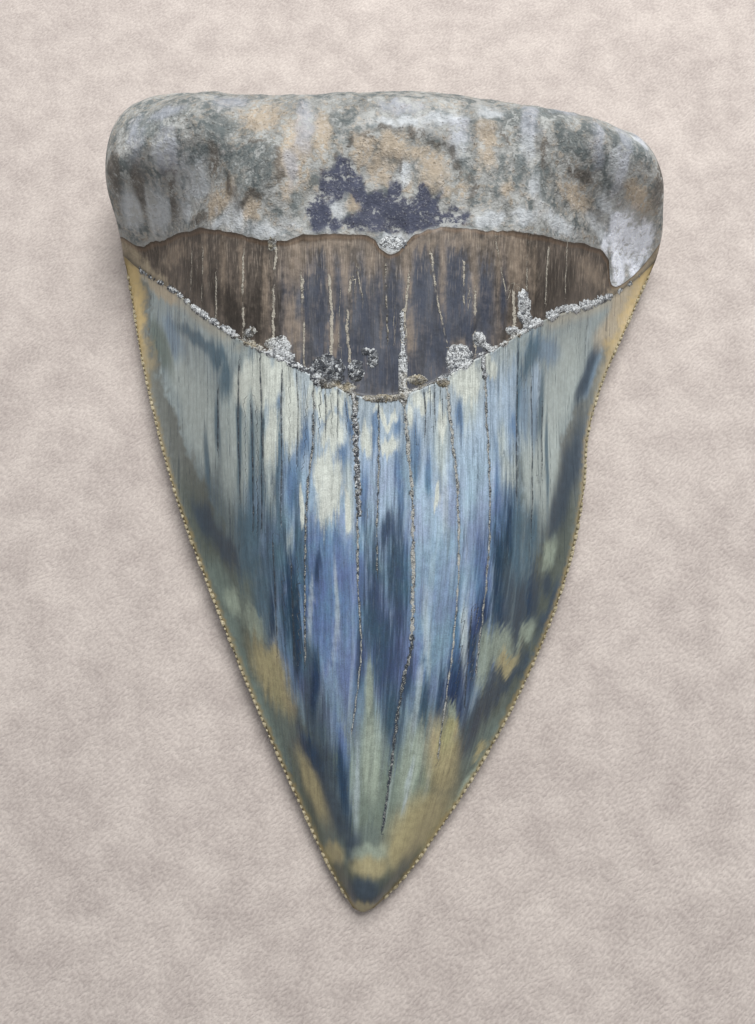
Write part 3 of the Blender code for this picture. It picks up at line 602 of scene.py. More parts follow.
def makeObject(name, data):
    made = bpy.data.objects.new(name, data)
    bpy.context.scene.collection.objects.link(made)
    return made


def setField(data, name, values):
    data.attributes.new(name, "FLOAT", "POINT").data.foreach_set("value", np.asarray(values, np.float32))


def columnsAt(row, share):
    columns = toothMesh["columns"]
    for limit in toothMesh["halveBelowY"]:
        if placeRow(np.array([0.0]), row)[1][0] < limit:
            columns //= 2
    return columns // share


def spreadColumns(columns):
    plain = np.linspace(-1.0, 1.0, columns + 1)
    crowding = toothMesh["edgeCrowding"]
    return (1 - crowding) * plain + crowding * np.sin(math.pi / 2 * plain)


def rowStrip(low, high, flip, zone):
    # Faces between two rows of points, the second with as many columns or more.
    faces = []
    share = max(1, (len(high) - 1) // (len(low) - 1))
    for index in range(len(low) - 1):
        upper = [high[index * share + step] for step in range(share, -1, -1)]
        face = [low[index], low[index + 1]] + upper
        faces.append((face[::-1] if flip else face, zone))
    return faces


# Material slots of the tooth's faces; the under side is sorted once its faces are placed.
enamelZone, bandZone, rootZone, underZone = range(4)


def buildToothSurface():
    crown, band, root = toothMesh["crownRows"], toothMesh["bandRows"], toothMesh["rootRows"]
    last = crown + band + root
    points, acrossAll, sheetAll = [], [], []

    def addPoints(across, row, sheet):
        x, y = placeRow(across, row)
        edge = (np.abs(across) > 0.9999) | (row in (0, last))
        z = innerFace(x, y, across) if sheet == 0 else outerFace(x, y, across)
        z = np.where(edge, form["seamHeight"](y), z)
        start = sum(len(part) for part in points)
        points.append(np.stack([x, y, z], -1))
        acrossAll.append(across)
        sheetAll.append(np.full(len(across), sheet))
        return list(range(start, start + len(across)))

    faces, inner, outer = [], [], []
    for row in range(last + 1):
        inner.append(addPoints(spreadColumns(columnsAt(row, 1)), row, 0))
    for row in range(last + 1):
        if row in (0, last):
            outer.append(inner[row])
            continue
        across = spreadColumns(columnsAt(row, toothMesh["underShare"]))[1:-1]
        outer.append([inner[row][0]] + addPoints(across, row, 1) + [inner[row][-1]])
    for row in range(last):
        zone = enamelZone if row < crown else bandZone if row < crown + band else rootZone
        faces += rowStrip(inner[row], inner[row + 1], False, zone)
        low, high = outer[row], outer[row + 1]
        if row == 0:
            share = toothMesh["underShare"]
            for index in range(len(high) - 1):
                lower = low[index * share:(index + 1) * share + 1]
                faces.append(((lower + [high[index + 1], high[index]])[::-1], underZone))
            continue
        faces += rowStrip(low, high, True, underZone)

    points, across, sheet = (np.concatenate(parts) for parts in (points, acrossAll, sheetAll))
    data = bpy.data.meshes.new("toothSurface")
    data.from_pydata((points * mm).tolist(), [], [face for face, zone in faces])
    zones = np.array([zone for face, zone in faces])
    centres = np.array([np.mean(across[face]) for face, zone in faces])
    middleY = np.array([np.mean(points[face, 1]) for face, zone in faces])
    below = middleY > form["underEnamelEnd"](centres)
    zones = np.where(zones == underZone, np.where(below, rootZone, enamelZone), zones)
    data.polygons.foreach_set("material_index", zones.astype(np.int32))
    data.shade_smooth()
    return makeObject("toothSurface", data), points, across, sheet


def paintFields(data, points, across, sheet):
    x, y = points[:, 0], points[:, 1]
    above = sheet == 0
    loose = (0.25 + 0.75 * ramp(-44.0, -26.0, y)) * (0.3 + 0.7 * ramp(24.0, 15.0, np.abs(x)))
    place = x + underSide["climb"][0] * points[:, 2], y + underSide["climb"][1] * points[:, 2]
    layers = ((enamelStrokes, fibreWander), (bandStrokes, dripWander), (rootStrokes, stoneWander))
    for strokes, wander in layers:
        for index, (name, marks) in enumerate(strokes.items()):
            cloud = underSide["swing"] * noiseAt(*place, *underSide["size"], 20.0 + index)
            hidden = np.clip(underSide["level"] + cloud, 0.0, underSide["mostOf"].get(name, underSide["most"]))
            setField(data, name, np.where(above, strokeField(x, y, marks, wander, loose), hidden))
    axis, spread = form["fibreAxis"](y), form["fibreSpread"](y)
    flow = np.stack([(x - axis) / spread, y, points[:, 2]], -1)
    field = data.attributes.new("fibreFlow", "FLOAT_VECTOR", "POINT")
    field.data.foreach_set("vector", flow.astype(np.float32).ravel())
    left, right = form["leftEdge"](y), form["rightEdge"](y)
    setField(data, "edgeGap", np.minimum(x - left, right - x))
    setField(data, "chevronGap", chevronAt(across) - y)
    setField(data, "rootLineGap", y - rootLineAt(across))
    gap, half, pale = crackFields(x, y)
    gap = np.where(above, gap, noCrackGap)
    setField(data, "crackGap", gap)
    setField(data, "crackHalf", half)
    setField(data, "crackPale", pale)
    setField(data, "crackNear", np.clip(1 - np.abs(gap) / 1.2, 0.0, 1.0))


tooth, toothPoints, toothAcross, toothSheet = buildToothSurface()
paintFields(tooth.data, toothPoints, toothAcross, toothSheet)
print("tooth surface", len(tooth.data.polygons), "faces")


# Helpers that build shader nodes.
def hexColour(text):
    parts = [int(text[i:i + 2], 16) / 255 for i in (1, 3, 5)]
    return tuple(c / 12.92 if c <= 0.04045 else ((c + 0.055) / 1.055) ** 2.4 for c in parts) + (1.0,)


def addNode(tree, kind, inputs=None, **settings):
    made = tree.nodes.new(kind)
    for name, value in settings.items():
        setattr(made, name, value)
    for name, value in (inputs or {}).items():
        if isinstance(value, bpy.types.NodeSocket):
            tree.links.new(value, made.inputs[name])
        else:
            made.inputs[name].default_value = value
    return made


def calc(tree, operation, *values, clamp=False):
    made = addNode(tree, "ShaderNodeMath", dict(enumerate(values)), operation=operation, use_clamp=clamp)
    return made.outputs[0]


def times(tree, *values):
    product = values[0]
    for value in values[1:]:
        product = calc(tree, "MULTIPLY", product, value)
    return product


def plus(tree, *values):
    total = values[0]
    for value in values[1:]:
        total = calc(tree, "ADD", total, value)
    return total


def minus(tree, value, less):
    return calc(tree, "SUBTRACT", value, less)


def swing(tree, value, size):
    # Turns a value from 0 to 1 into a swing about zero.
    return times(tree, minus(tree, value, 0.5), size)


def weighed(tree, *parts):
    # Sum of values, each with its weight.
    return plus(tree, *[times(tree, value, weight) for value, weight in parts])


def swings(tree, *parts):
    return plus(tree, *[swing(tree, value, size) for value, size in parts])


def fade(tree, value, low, high, toLow=0.0, toHigh=1.0):
    sockets = {"Value": value, "From Min": low, "From Max": high, "To Min": toLow, "To Max": toHigh}
    return addNode(tree, "ShaderNodeMapRange", sockets, interpolation_type="SMOOTHSTEP").outputs[0]


def tint(tree, factor, under, over, mode="MIX"):
    sockets = {0: factor, 6: under, 7: over}
    made = addNode(tree, "ShaderNodeMix", sockets, data_type="RGBA", blend_type=mode, clamp_result=False)
    return made.outputs[2]


def readField(tree, name, output="Fac"):
    return addNode(tree, "ShaderNodeAttribute", attribute_name=name).outputs[output]


def readPlaceMm(tree):
    # Object coordinates in millimetres.
    place = addNode(tree, "ShaderNodeTexCoord").outputs["Object"]
    return addNode(tree, "ShaderNodeVectorMath", {0: place, "Scale": 1000.0}, operation="SCALE").outputs[0]


def colourRamp(tree, factor, stops):
    made = addNode(tree, "ShaderNodeValToRGB", {"Fac": factor})
    marks = made.color_ramp.elements
    for index, (place, colour) in enumerate(stops):
        mark = marks[index] if index < 2 else marks.new(place)
        mark.position = place
        mark.color = hexColour(colour)
    return made.outputs["Color"]


def startGroup(name, inputs, outputs):
    tree = bpy.data.node_groups.new(name, "ShaderNodeTree")
    for title, kind, value in inputs:
        made = tree.interface.new_socket(title, in_out="INPUT", socket_type="NodeSocket" + kind)
        if value is not None:
            made.default_value = value
    for title, kind in outputs:
        tree.interface.new_socket(title, in_out="OUTPUT", socket_type="NodeSocket" + kind)
    given = tree.nodes.new("NodeGroupInput")
    result = tree.nodes.new("NodeGroupOutput")
    return tree, given.outputs, result


def useGroup(tree, group, inputs):
    return addNode(tree, "ShaderNodeGroup", inputs, node_tree=group).outputs


def makeFibreGroup():
    # Noise drawn out along the tooth: 0 to 1, about 0.5 on average.
    inputs = [("Flow", "Vector", None), ("Width", "Float", 0.3), ("Length", "Float", 6.0),
              ("Layer", "Float", 0.0), ("Detail", "Float", 2.0)]
    tree, given, result = startGroup("fibreStreaks", inputs, [("Streaks", "Float")])
    parts = addNode(tree, "ShaderNodeSeparateXYZ", {"Vector": given["Flow"]}).outputs
    across = calc(tree, "DIVIDE", parts["X"], given["Width"])
    along = calc(tree, "DIVIDE", parts["Y"], given["Length"])
    place = addNode(tree, "ShaderNodeCombineXYZ", {"X": across, "Y": along, "Z": given["Layer"]}).outputs[0]
    streaks = addNode(tree, "ShaderNodeTexNoise", {"Vector": place, "Scale": 1.0, "Detail": given["Detail"]})
    spread = fade(tree, streaks.outputs["Fac"], 0.22, 0.78)
    tree.links.new(spread, result.inputs["Streaks"])
    return tree


def makeStrokeGroup():
    # Turns a soft field into a stroke with a ragged outline.
    inputs = [("Field", "Float", 0.0), ("Ragged", "Float", 0.5), ("Reach", "Float", 0.4),
              ("Softness", "Float", 0.1)]
    tree, given, result = startGroup("raggedStroke", inputs, [("Mask", "Float")])
    shift = swing(tree, given["Ragged"], given["Reach"])
    moved = plus(tree, given["Field"], shift)
    low = minus(tree, 0.5, given["Softness"])
    high = plus(tree, 0.5, given["Softness"])
    tree.links.new(fade(tree, moved, low, high), result.inputs["Mask"])
    return tree


def makeGrainGroup():
    # Packed mineral grains: a brightness for each grain and the dark gaps between them.
    inputs = [("Place", "Vector", None), ("Size", "Float", 0.3), ("Roundness", "Float", 1.0)]
    tree, given, result = startGroup("mineralGrains", inputs, [("Brightness", "Float"), ("Body", "Float")])
    scale = calc(tree, "DIVIDE", 1.0, given["Size"])
    wobble = addNode(tree, "ShaderNodeTexNoise", {"Vector": given["Place"], "Scale": scale, "Detail": 2.0})
    sway = {0: wobble.outputs["Color"], "Scale": 0.25}
    bent = addNode(tree, "ShaderNodeVectorMath", sway, operation="SCALE")
    moved = addNode(tree, "ShaderNodeVectorMath", {0: given["Place"], 1: bent.outputs[0]}, operation="ADD")
    cells = addNode(tree, "ShaderNodeTexVoronoi", {"Vector": moved.outputs[0], "Scale": scale})
    shade = addNode(tree, "ShaderNodeSeparateColor", {"Color": cells.outputs["Color"]}).outputs[0]
    body = fade(tree, cells.outputs["Distance"], 0.75, 0.1)
    body = calc(tree, "POWER", body, given["Roundness"])
    tree.links.new(shade, result.inputs["Brightness"])
    tree.links.new(body, result.inputs["Body"])
    return tree


fibreGroup = makeFibreGroup()
strokeGroup = makeStrokeGroup()
grainGroup = makeGrainGroup()


def fibres(tree, flow, width, length, layer, detail=2.0):
    values = {"Flow": flow, "Width": width, "Length": length, "Layer": layer, "Detail": detail}
    return useGroup(tree, fibreGroup, values)["Streaks"]


def stroke(tree, field, ragged, reach, softness):
    values = {"Field": field, "Ragged": ragged, "Reach": reach, "Softness": softness}
    return useGroup(tree, strokeGroup, values)["Mask"]


def speckle(tree, place, size, detail=3.0):
    scaled = {"Vector": place, "Scale": 1.0 / size, "Detail": detail, "Roughness": 0.6}
    return fade(tree, addNode(tree, "ShaderNodeTexNoise", scaled).outputs["Fac"], 0.25, 0.75)


def startMaterial(name):
    material = bpy.data.materials.new(name)
    material.use_nodes = True
    tree = material.node_tree
    return material, tree, tree.nodes["Principled BSDF"]


def layStrokes(tree, base, laying, colours, ragged, loose=None):
    # Lays one colour after another, each with its reach, softness and strength.
    for name, (reach, softness, strength) in laying.items():
        if loose is not None:
            reach = times(tree, loose, reach)
        mask = stroke(tree, readField(tree, name), ragged, reach, softness)
        base = tint(tree, times(tree, mask, strength), base, colours[name])
    return base


def toned(tree, base, tone, hue=0.5):
    inputs = {"Color": base, "Hue": hue, "Value": plus(tree, 1.0, tone)}
    return addNode(tree, "ShaderNodeHueSaturation", inputs).outputs[0]


def pickColours(palette):
    return {name: hexColour(value) for name, value in palette.items() if isinstance(value, str)}


def addBump(tree, height, distance, strength=1.0, under=None):
    inputs = {"Height": height, "Distance": distance * mm, "Strength": strength}
    if under is not None:
        inputs["Normal"] = under
    return addNode(tree, "ShaderNodeBump", inputs).outputs[0]


def finishShader(tree, shader, base, rough, height, finish):
    tree.links.new(base, shader.inputs["Base Color"])
    tree.links.new(rough, shader.inputs["Roughness"])
    tree.links.new(addBump(tree, height, finish["bump"]), shader.inputs["Normal"])
    if "coat" in finish:
        shader.inputs["Coat Weight"].default_value = finish["coat"]
        shader.inputs["Coat Roughness"].default_value = finish["coatRoughness"]


def crackMasks(tree, place, raggedSize=0.9):
    # Filled core of the cracks, the dark rim beside it, which is painted shade along the crack's edges, and
    # the filling's colour.
    gap = calc(tree, "ABSOLUTE", readField(tree, "crackGap"))
    half = readField(tree, "crackHalf")
    near = fade(tree, readField(tree, "crackNear"), 0.02, 0.2)
    ragged = speckle(tree, place, raggedSize, 3.0)
    half = times(tree, half, fade(tree, ragged, 0.1, 0.9, 0.45, 1.55))
    past = minus(tree, gap, half)
    core = times(tree, fade(tree, past, 0.06, -0.05), near)
    shadedBorder = times(tree, near, fade(tree, ragged, 0.2, 0.7, 0.3, 1.0))
    rim = times(tree, fade(tree, past, 0.2, 0.0), shadedBorder)
    patches = minus(tree, speckle(tree, place, 0.55, 3.0), 0.5)
    grit = minus(tree, speckle(tree, place, 0.13, 2.0), 0.5)
    pale = readField(tree, "crackPale")
    filling = plus(tree, pale, times(tree, patches, 0.65), times(tree, grit, 0.8))
    return core, rim, fade(tree, filling, 0.2, 0.85), plus(tree, 0.5, grit)


enamelColours = {
    # From the tip up to the chevron: olive grey, grey-green, blue, sky, pale grey.
    "downCentre": [(0.0, "#60685c"), (0.25, "#68766c"), (0.42, "#587090"), (0.75, "#8a9fb4"),
                   (1.0, "#a0a8a8")],
    "side": "#586669",
    "upperSide": "#8d9899",
    "bevel": "#4d5249",
    "upperBevel": "#62635d",
    "chevronStain": "#a19f93",
    "paleGreen": "#a6b0ad",
    "sky": "#98acc0",
    "dusk": "#6d8397",
    "midBlue": "#48678a",
    "greenGrey": "#616d67",
    "teal": "#3f5a6a",
    "slate": "#323f4c",
    "navy": "#12304a",
    "lichen": "#8c9789",
    "olive": "#9c9370",
    "beige": "#a99d88",
    "cream": "#bcc1b9",
    # Colour of the painted highlight streaks.
    "paintedSheen": "#a3b0b6",
    "hairline": "#1a2733",
    "streakDark": "#39536a",
    "streakPale": "#a6b3b8",
    "edge": "#86754d",
    "shoulder": "#b59e6e",
    "fillDark": "#26303a",
    "fillPale": "#b4b5b0",
}
enamelFinish = {"roughness": 0.36, "coat": 0.1, "coatRoughness": 0.22, "bump": 0.045}
# How each colour stroke is laid down: reach of its ragged outline, softness and strength.
enamelLaying = {
    "paleGreen": (0.6, 0.4, 0.85),
    "sky": (0.7, 0.4, 0.75),
    "dusk": (0.7, 0.4, 0.8),
    "midBlue": (0.95, 0.5, 0.85),
    "greenGrey": (0.6, 0.35, 0.85),
    "teal": (0.85, 0.42, 0.85),
    "slate": (0.85, 0.45, 0.9),
    "navy": (1.0, 0.5, 0.93),
    "lichen": (0.5, 0.4, 0.85),
    "olive": (0.4, 0.42, 0.95),
    "beige": (0.4, 0.3, 0.9),
    "cream": (0.65, 0.26, 0.95),
    "paintedSheen": (0.8, 0.45, 0.6),
}


def makeEnamel():
    material, tree, shader = startMaterial("mottledEnamel")
    colours = pickColours(enamelColours)
    flow = readField(tree, "fibreFlow", "Vector")
    place = readPlaceMm(tree)
    parts = addNode(tree, "ShaderNodeSeparateXYZ", {"Vector": flow}).outputs
    x, y = parts["X"], parts["Y"]
    edgeGap, chevronGap = readField(tree, "edgeGap"), readField(tree, "chevronGap")

    fine = fibres(tree, flow, 0.12, 2.2, 1.0, 3.0)
    medium = fibres(tree, flow, 0.38, 7.0, 2.0, 3.0)
    broad = fibres(tree, flow, 1.3, 12.0, 3.0)
    cloud = speckle(tree, place, 3.0)
    mottle = speckle(tree, place, 0.9, 5.0)
    grit = speckle(tree, place, 0.16, 2.0)
    ragged = weighed(tree, (medium, 0.5), (fine, 0.32), (mottle, 0.18))

    # Base colour down the middle, shifted up and down from fibre to fibre.
    down = plus(tree, y, swing(tree, ragged, 6.0))
    down = fade(tree, down, -56.0, 12.0)
    down.node.interpolation_type = "LINEAR"
    base = colourRamp(tree, down, enamelColours["downCentre"])
    away = plus(tree, calc(tree, "ABSOLUTE", x), swing(tree, cloud, 4.0))
    aside = fade(tree, away, 12.0, 19.0)
    upper = fade(tree, y, -6.0, 10.0)
    base = tint(tree, aside, base, tint(tree, upper, colours["side"], colours["upperSide"]))

    # Fibre-by-fibre streaks, stronger towards the sides.
    strong = fade(tree, away, 9.0, 14.0, 0.12, 0.26)
    base = tint(tree, times(tree, fade(tree, medium, 0.55, 0.9), strong), base, colours["streakDark"])
    base = tint(tree, times(tree, fade(tree, broad, 0.42, 0.1), 0.25), base, colours["streakPale"])
    stain = times(tree, fade(tree, chevronGap, 2.8, 0.8), fade(tree, away, 17.0, 22.0))
    base = tint(tree, times(tree, stain, 0.85), base, colours["chevronStain"])

    # Bevels towards the cutting edges, then the colour strokes from the palest to the strongest; the last
    # strokes are painted highlights.
    bevelNoise = plus(tree, edgeGap, swing(tree, cloud, 2.0))
    bevelColour = tint(tree, fade(tree, y, -8.0, 6.0), colours["bevel"], colours["upperBevel"])
    bevelStart = minus(tree, bevelNoise, fade(tree, y, 16.0, -4.0, 0.0, 2.6))
    base = tint(tree, fade(tree, bevelStart, 3.4, 2.0, 0.0, 0.85), base, bevelColour)
    loose = times(tree, fade(tree, away, 24.0, 15.0, 0.4, 1.0), fade(tree, y, -46.0, -30.0, 0.4, 1.0))
    base = layStrokes(tree, base, enamelLaying, colours, ragged, loose)

    # The blues in the middle lean to lavender in some places and to sea green in others.
    drawnOut = {0: flow, 1: (1.0, 0.45, 1.0)}
    drawnOut = addNode(tree, "ShaderNodeVectorMath", drawnOut, operation="MULTIPLY").outputs[0]
    tinge = speckle(tree, drawnOut, 3.4, 5.0)
    blues = times(tree, fade(tree, away, 19.0, 12.0), fade(tree, y, 3.0, -6.0), fade(tree, y, -40.0, -34.0))
    hue = times(tree, minus(tree, tinge, 0.47), blues, 0.05)

    # Lighter and darker fibres, blotches and grain over everything, calmer near the edges and the tip.
    calm = times(tree, fade(tree, away, 22.0, 14.0, 0.35, 1.0), fade(tree, y, -50.0, -38.0, 0.35, 1.0))
    tone = swings(tree, (fine, 0.22), (grit, 0.34), (medium, -0.38), (broad, -0.22))
    tone = plus(tree, times(tree, tone, calm), swing(tree, mottle, 0.28))
    base = toned(tree, base, tone, plus(tree, 0.5, hue))

    # Thin dark fibres, densest on the left and right of the middle.
    thin = fibres(tree, flow, 0.5, 22.0, 6.0, 1.0)
    line = fade(tree, calc(tree, "ABSOLUTE", minus(tree, thin, 0.5)), 0.06, 0.012)
    where = times(tree, fade(tree, away, 7.0, 12.0, 0.12, 0.45), fade(tree, y, -26.0, -8.0, 0.15, 1.0))
    line = times(tree, line, times(tree, where, fade(tree, mottle, 0.2, 0.6)))
    base = tint(tree, line, base, colours["hairline"])

    # Yellowed shoulders and cutting edge.
    shoulder = times(tree, fade(tree, bevelNoise, 2.6, 0.7), fade(tree, y, 12.0, 24.0))
    base = tint(tree, times(tree, shoulder, 0.85), base, colours["shoulder"])
    edge = fade(tree, plus(tree, edgeGap, times(tree, mottle, 0.5)), 1.3, 0.4)
    base = tint(tree, times(tree, edge, 0.75), base, colours["edge"])

    core, rim, filling, body = crackMasks(tree, place)
    # Painted shade: the rims beside the cracks are darkened towards the hairline colour.
    base = tint(tree, times(tree, rim, 0.5), base, colours["hairline"])
    base = tint(tree, core, base, tint(tree, filling, colours["fillDark"], colours["fillPale"]))
    # Painted shade: mottled darkening of the enamel in the last 0.9 mm below the chevron, under the crust's
    # edge.
    underCrustShade = times(tree, fade(tree, chevronGap, 0.9, 0.0), mottle)
    base = tint(tree, times(tree, underCrustShade, 0.5), base, colours["fillDark"])

    rough = plus(tree, enamelFinish["roughness"], times(tree, mottle, 0.12), times(tree, core, 0.4))
    crumbs = times(tree, core, body)
    height = weighed(tree, (fine, 0.22), (medium, 0.35), (grit, 0.12), (line, -0.3), (rim, -1.0),
                     (crumbs, 1.8))
    finishShader(tree, shader, base, rough, height, enamelFinish)
    return material


bandColours = {
    "base": "#524a43",
    "cool": "#4b4f59",
    "slateBlue": "#2b3343",
    "rust": "#7f7264",
    "dark": "#28221c",
    "dripPale": "#a3998b",
    "lip": "#80674f",
    "beige": "#9d917c",
    # A near-black for painted shade: in the crease under the root's lip, behind the enamel's raised edge and
    # along crack edges.
    "creaseShade": "#1d1917",
    "fillDark": "#34302c",
    "fillPale": "#c6c0b2",
}
bandFinish = {"roughness": 0.46, "coat": 0.05, "coatRoughness": 0.3, "bump": 0.06}
bandLaying = {
    "dark": (0.5, 0.4, 0.8),
    "slateBlue": (0.8, 0.5, 0.95),
    "rust": (0.9, 0.55, 0.75),
    "beige": (0.4, 0.3, 0.9),
}


def makeBand():
    material, tree, shader = startMaterial("smoothBand")
    colours = pickColours(bandColours)
    flow = readField(tree, "fibreFlow", "Vector")
    place = readPlaceMm(tree)
    fine = fibres(tree, flow, 0.16, 1.8, 11.0)
    medium = fibres(tree, flow, 0.45, 4.0, 12.0)
    broad = fibres(tree, flow, 1.3, 7.0, 13.0)
    mottle = speckle(tree, place, 0.9, 4.0)
    ragged = weighed(tree, (medium, 0.45), (fine, 0.2), (mottle, 0.35))
    rootGap = times(tree, readField(tree, "rootLineGap"), -1.0)

    reach = plus(tree, rootGap, swing(tree, ragged, 7.0))
    aside = calc(tree, "ABSOLUTE", addNode(tree, "ShaderNodeSeparateXYZ", {"Vector": flow}).outputs["X"])
    middle = times(tree, fade(tree, reach, 1.5, 5.0), fade(tree, aside, 15.0, 11.0))
    base = tint(tree, middle, colours["base"], colours["cool"])
    base = tint(tree, fade(tree, broad, 0.35, 0.75, 0.0, 0.35), base, colours["dark"])
    base = tint(tree, fade(tree, ragged, 0.5, 0.75, 0.0, 0.35), base, colours["rust"])
    base = layStrokes(tree, base, bandLaying, colours, ragged)
    drip = times(tree, fade(tree, fine, 0.6, 0.95), fade(tree, rootGap, 9.0, 1.0, 0.15, 0.75))
    base = tint(tree, times(tree, drip, 0.45), base, colours["dripPale"])
    grit = speckle(tree, place, 0.2, 3.0)
    tone = swings(tree, (fine, 0.12), (grit, 0.22), (mottle, 0.45), (broad, -0.3))
    base = toned(tree, base, tone)
    base = tint(tree, fade(tree, rootGap, 0.6, 0.2, 0.0, 0.4), base, colours["lip"])
    # Painted shade: a dark line in the crease just under the root's lip.
    base = tint(tree, fade(tree, rootGap, 0.25, 0.05, 0.0, 0.55), base, colours["creaseShade"])
    # Painted shade on the band where it meets the raised edge of the enamel.
    pastChevron = times(tree, readField(tree, "chevronGap"), -1.0)
    base = tint(tree, fade(tree, pastChevron, 1.2, 0.0, 0.0, 0.6), base, colours["creaseShade"])

    core, rim, filling, body = crackMasks(tree, place, 0.5)
    broken = fade(tree, speckle(tree, place, 2.6, 2.0), 0.2, 0.48)
    core = times(tree, core, broken)
    # Painted shade along the crack edges of the band.
    base = tint(tree, times(tree, rim, 0.35), base, colours["creaseShade"])
    packed = tint(tree, filling, colours["fillDark"], colours["fillPale"])
    base = tint(tree, times(tree, core, 0.92), base, packed)
    rough = plus(tree, bandFinish["roughness"], times(tree, mottle, 0.2), times(tree, core, 0.3))
    height = weighed(tree, (fine, 0.3), (medium, 0.5), (mottle, 0.3), (times(tree, core, body), 2.0))
    finishShader(tree, shader, base, rough, height, bandFinish)
    return material


rootColours = {
    "base": "#7f817f",
    "paleBase": "#90918f",
    "moss": "#5a6263",
    "tan": "#aa9b87",
    "white": "#b8bdc1",
    "bright": "#e6ebf5",
    "haze": "#a0a4ae",
    "brown": "#565049",
    "violet": "#353a4e",
    "pit": "#3c3a37",
    "crust": "#acaeac",
}
rootFinish = {"roughness": 0.75, "bump": 0.16}
rootLaying = {
    "moss": (0.9, 0.42, 0.8),
    "tan": (1.1, 0.45, 0.75),
    "white": (1.1, 0.45, 0.85),
    "haze": (0.8, 0.45, 0.6),
    "brown": (0.8, 0.36, 0.75),
    "violet": (0.8, 0.24, 0.95),
    "bright": (0.7, 0.34, 0.95),
}


def makeRootStone():
    material, tree, shader = startMaterial("rootStone")
    colours = pickColours(rootColours)
    place = readPlaceMm(tree)
    cloud = speckle(tree, place, 5.0, 3.0)
    blotch = speckle(tree, place, 2.3, 4.0)
    mottle = speckle(tree, place, 0.7, 4.0)
    grit = speckle(tree, place, 0.25, 3.0)
    drawn = fibres(tree, place, 1.1, 5.0, 21.0, 3.0)
    grains = useGroup(tree, grainGroup, {"Place": place, "Size": 0.5, "Roundness": 1.0})
    ragged = weighed(tree, (blotch, 0.4), (mottle, 0.3), (drawn, 0.3))

    # Flaked surface: plates of slightly different height and tone.
    bend = addNode(tree, "ShaderNodeTexNoise", {
        "Vector": place, "Scale": 0.35, "Detail": 5.0, "Roughness": 0.6})
    shift = addNode(tree, "ShaderNodeVectorMath", {0: bend.outputs["Color"], "Scale": 4.5}, operation="SCALE")
    bent = addNode(tree, "ShaderNodeVectorMath", {0: place, 1: shift.outputs[0]}, operation="ADD").outputs[0]
    plates = addNode(tree, "ShaderNodeTexVoronoi", {"Vector": bent, "Scale": 0.3})
    plate = addNode(tree, "ShaderNodeSeparateColor", {"Color": plates.outputs["Color"]}).outputs[0]

    base = tint(tree, fade(tree, cloud, 0.3, 0.7), colours["base"], colours["paleBase"])
    base = tint(tree, fade(tree, blotch, 0.48, 0.74, 0.0, 0.85), base, colours["moss"])
    base = tint(tree, fade(tree, mottle, 0.55, 0.85, 0.0, 0.4), base, colours["tan"])
    base = layStrokes(tree, base, rootLaying, colours, ragged)
    crust = times(tree, fade(tree, blotch, 0.5, 0.2), fade(tree, mottle, 0.6, 0.3))
    base = tint(tree, times(tree, crust, 0.75), base, colours["crust"])
    specks = times(tree, fade(tree, grit, 0.62, 0.85), fade(tree, mottle, 0.3, 0.6))
    base = tint(tree, times(tree, specks, 0.25), base, colours["crust"])
    aside = calc(tree, "ABSOLUTE", addNode(tree, "ShaderNodeSeparateXYZ", {"Vector": place}).outputs["X"])
    tone = swings(tree, (drawn, 0.25), (plate, 0.2))
    # Painted light: the value rises by up to 0.24 towards both ends of the root (|x| from 25 to 36 mm),
    # offsetting the shade on their steep faces.
    tone = plus(tree, tone, fade(tree, aside, 25.0, 36.0, 0.0, 0.24))
    tone = plus(tree, tone, swing(tree, mottle, 0.2), swing(tree, grit, 0.14))
    base = toned(tree, base, tone)
    pits = times(tree, fade(tree, mottle, 0.75, 0.92), fade(tree, grains["Body"], 0.2, 0.8))
    base = tint(tree, times(tree, pits, 0.25), base, colours["pit"])
    # Painted highlight: a pale line of crust colour within 0.6 mm of the root line, along the lip's edge.
    lip = fade(tree, readField(tree, "rootLineGap"), 0.0, 0.6)
    base = tint(tree, times(tree, minus(tree, 1.0, lip), 0.4), base, colours["crust"])

    rough = plus(tree, rootFinish["roughness"], times(tree, grit, 0.2))
    height = weighed(tree, (mottle, 0.7), (grit, 0.18), (blotch, 0.8), (pits, -0.8), (plate, 0.9))
    finishShader(tree, shader, base, rough, height, rootFinish)
    return material


crustColours = {
    "dark": "#353a42",
    "middle": "#797d82",
    "pale": "#ced2d4",
    "tan": "#a59a80",
    # Colour of the painted shade between the crust's grains.
    "gap": "#23211f",
}
crustFinish = {"roughness": 0.62, "bump": 0.12}


def makeCrustMaterial():
    material, tree, shader = startMaterial("mineralCrust")
    colours = pickColours(crustColours)
    place = readPlaceMm(tree)
    coarse = useGroup(tree, grainGroup, {"Place": place, "Size": 0.42, "Roundness": 1.0})
    small = useGroup(tree, grainGroup, {"Place": place, "Size": 0.17, "Roundness": 1.0})
    mottle = speckle(tree, place, 0.8, 3.0)
    pale = readField(tree, "crustPale")
    tone = plus(tree, pale, minus(tree, coarse["Brightness"], 0.55), swing(tree, small["Brightness"], 0.5))
    base = tint(tree, fade(tree, tone, 0.0, 0.5), colours["dark"], colours["middle"])
    base = tint(tree, fade(tree, tone, 0.4, 0.85), base, colours["pale"])
    warm = times(tree, readField(tree, "crustTan"), fade(tree, mottle, 0.2, 0.6, 0.5, 1.0))
    base = tint(tree, times(tree, warm, 0.75), base, colours["tan"])
    # Painted shade in the gaps between the small grains.
    base = tint(tree, fade(tree, small["Body"], 0.3, 0.0, 0.0, 0.7), base, colours["gap"])
    rough = plus(tree, crustFinish["roughness"], times(tree, mottle, 0.2))
    height = weighed(tree, (coarse["Body"], 0.6), (small["Body"], 0.4))
    finishShader(tree, shader, base, rough, height, crustFinish)
    return material


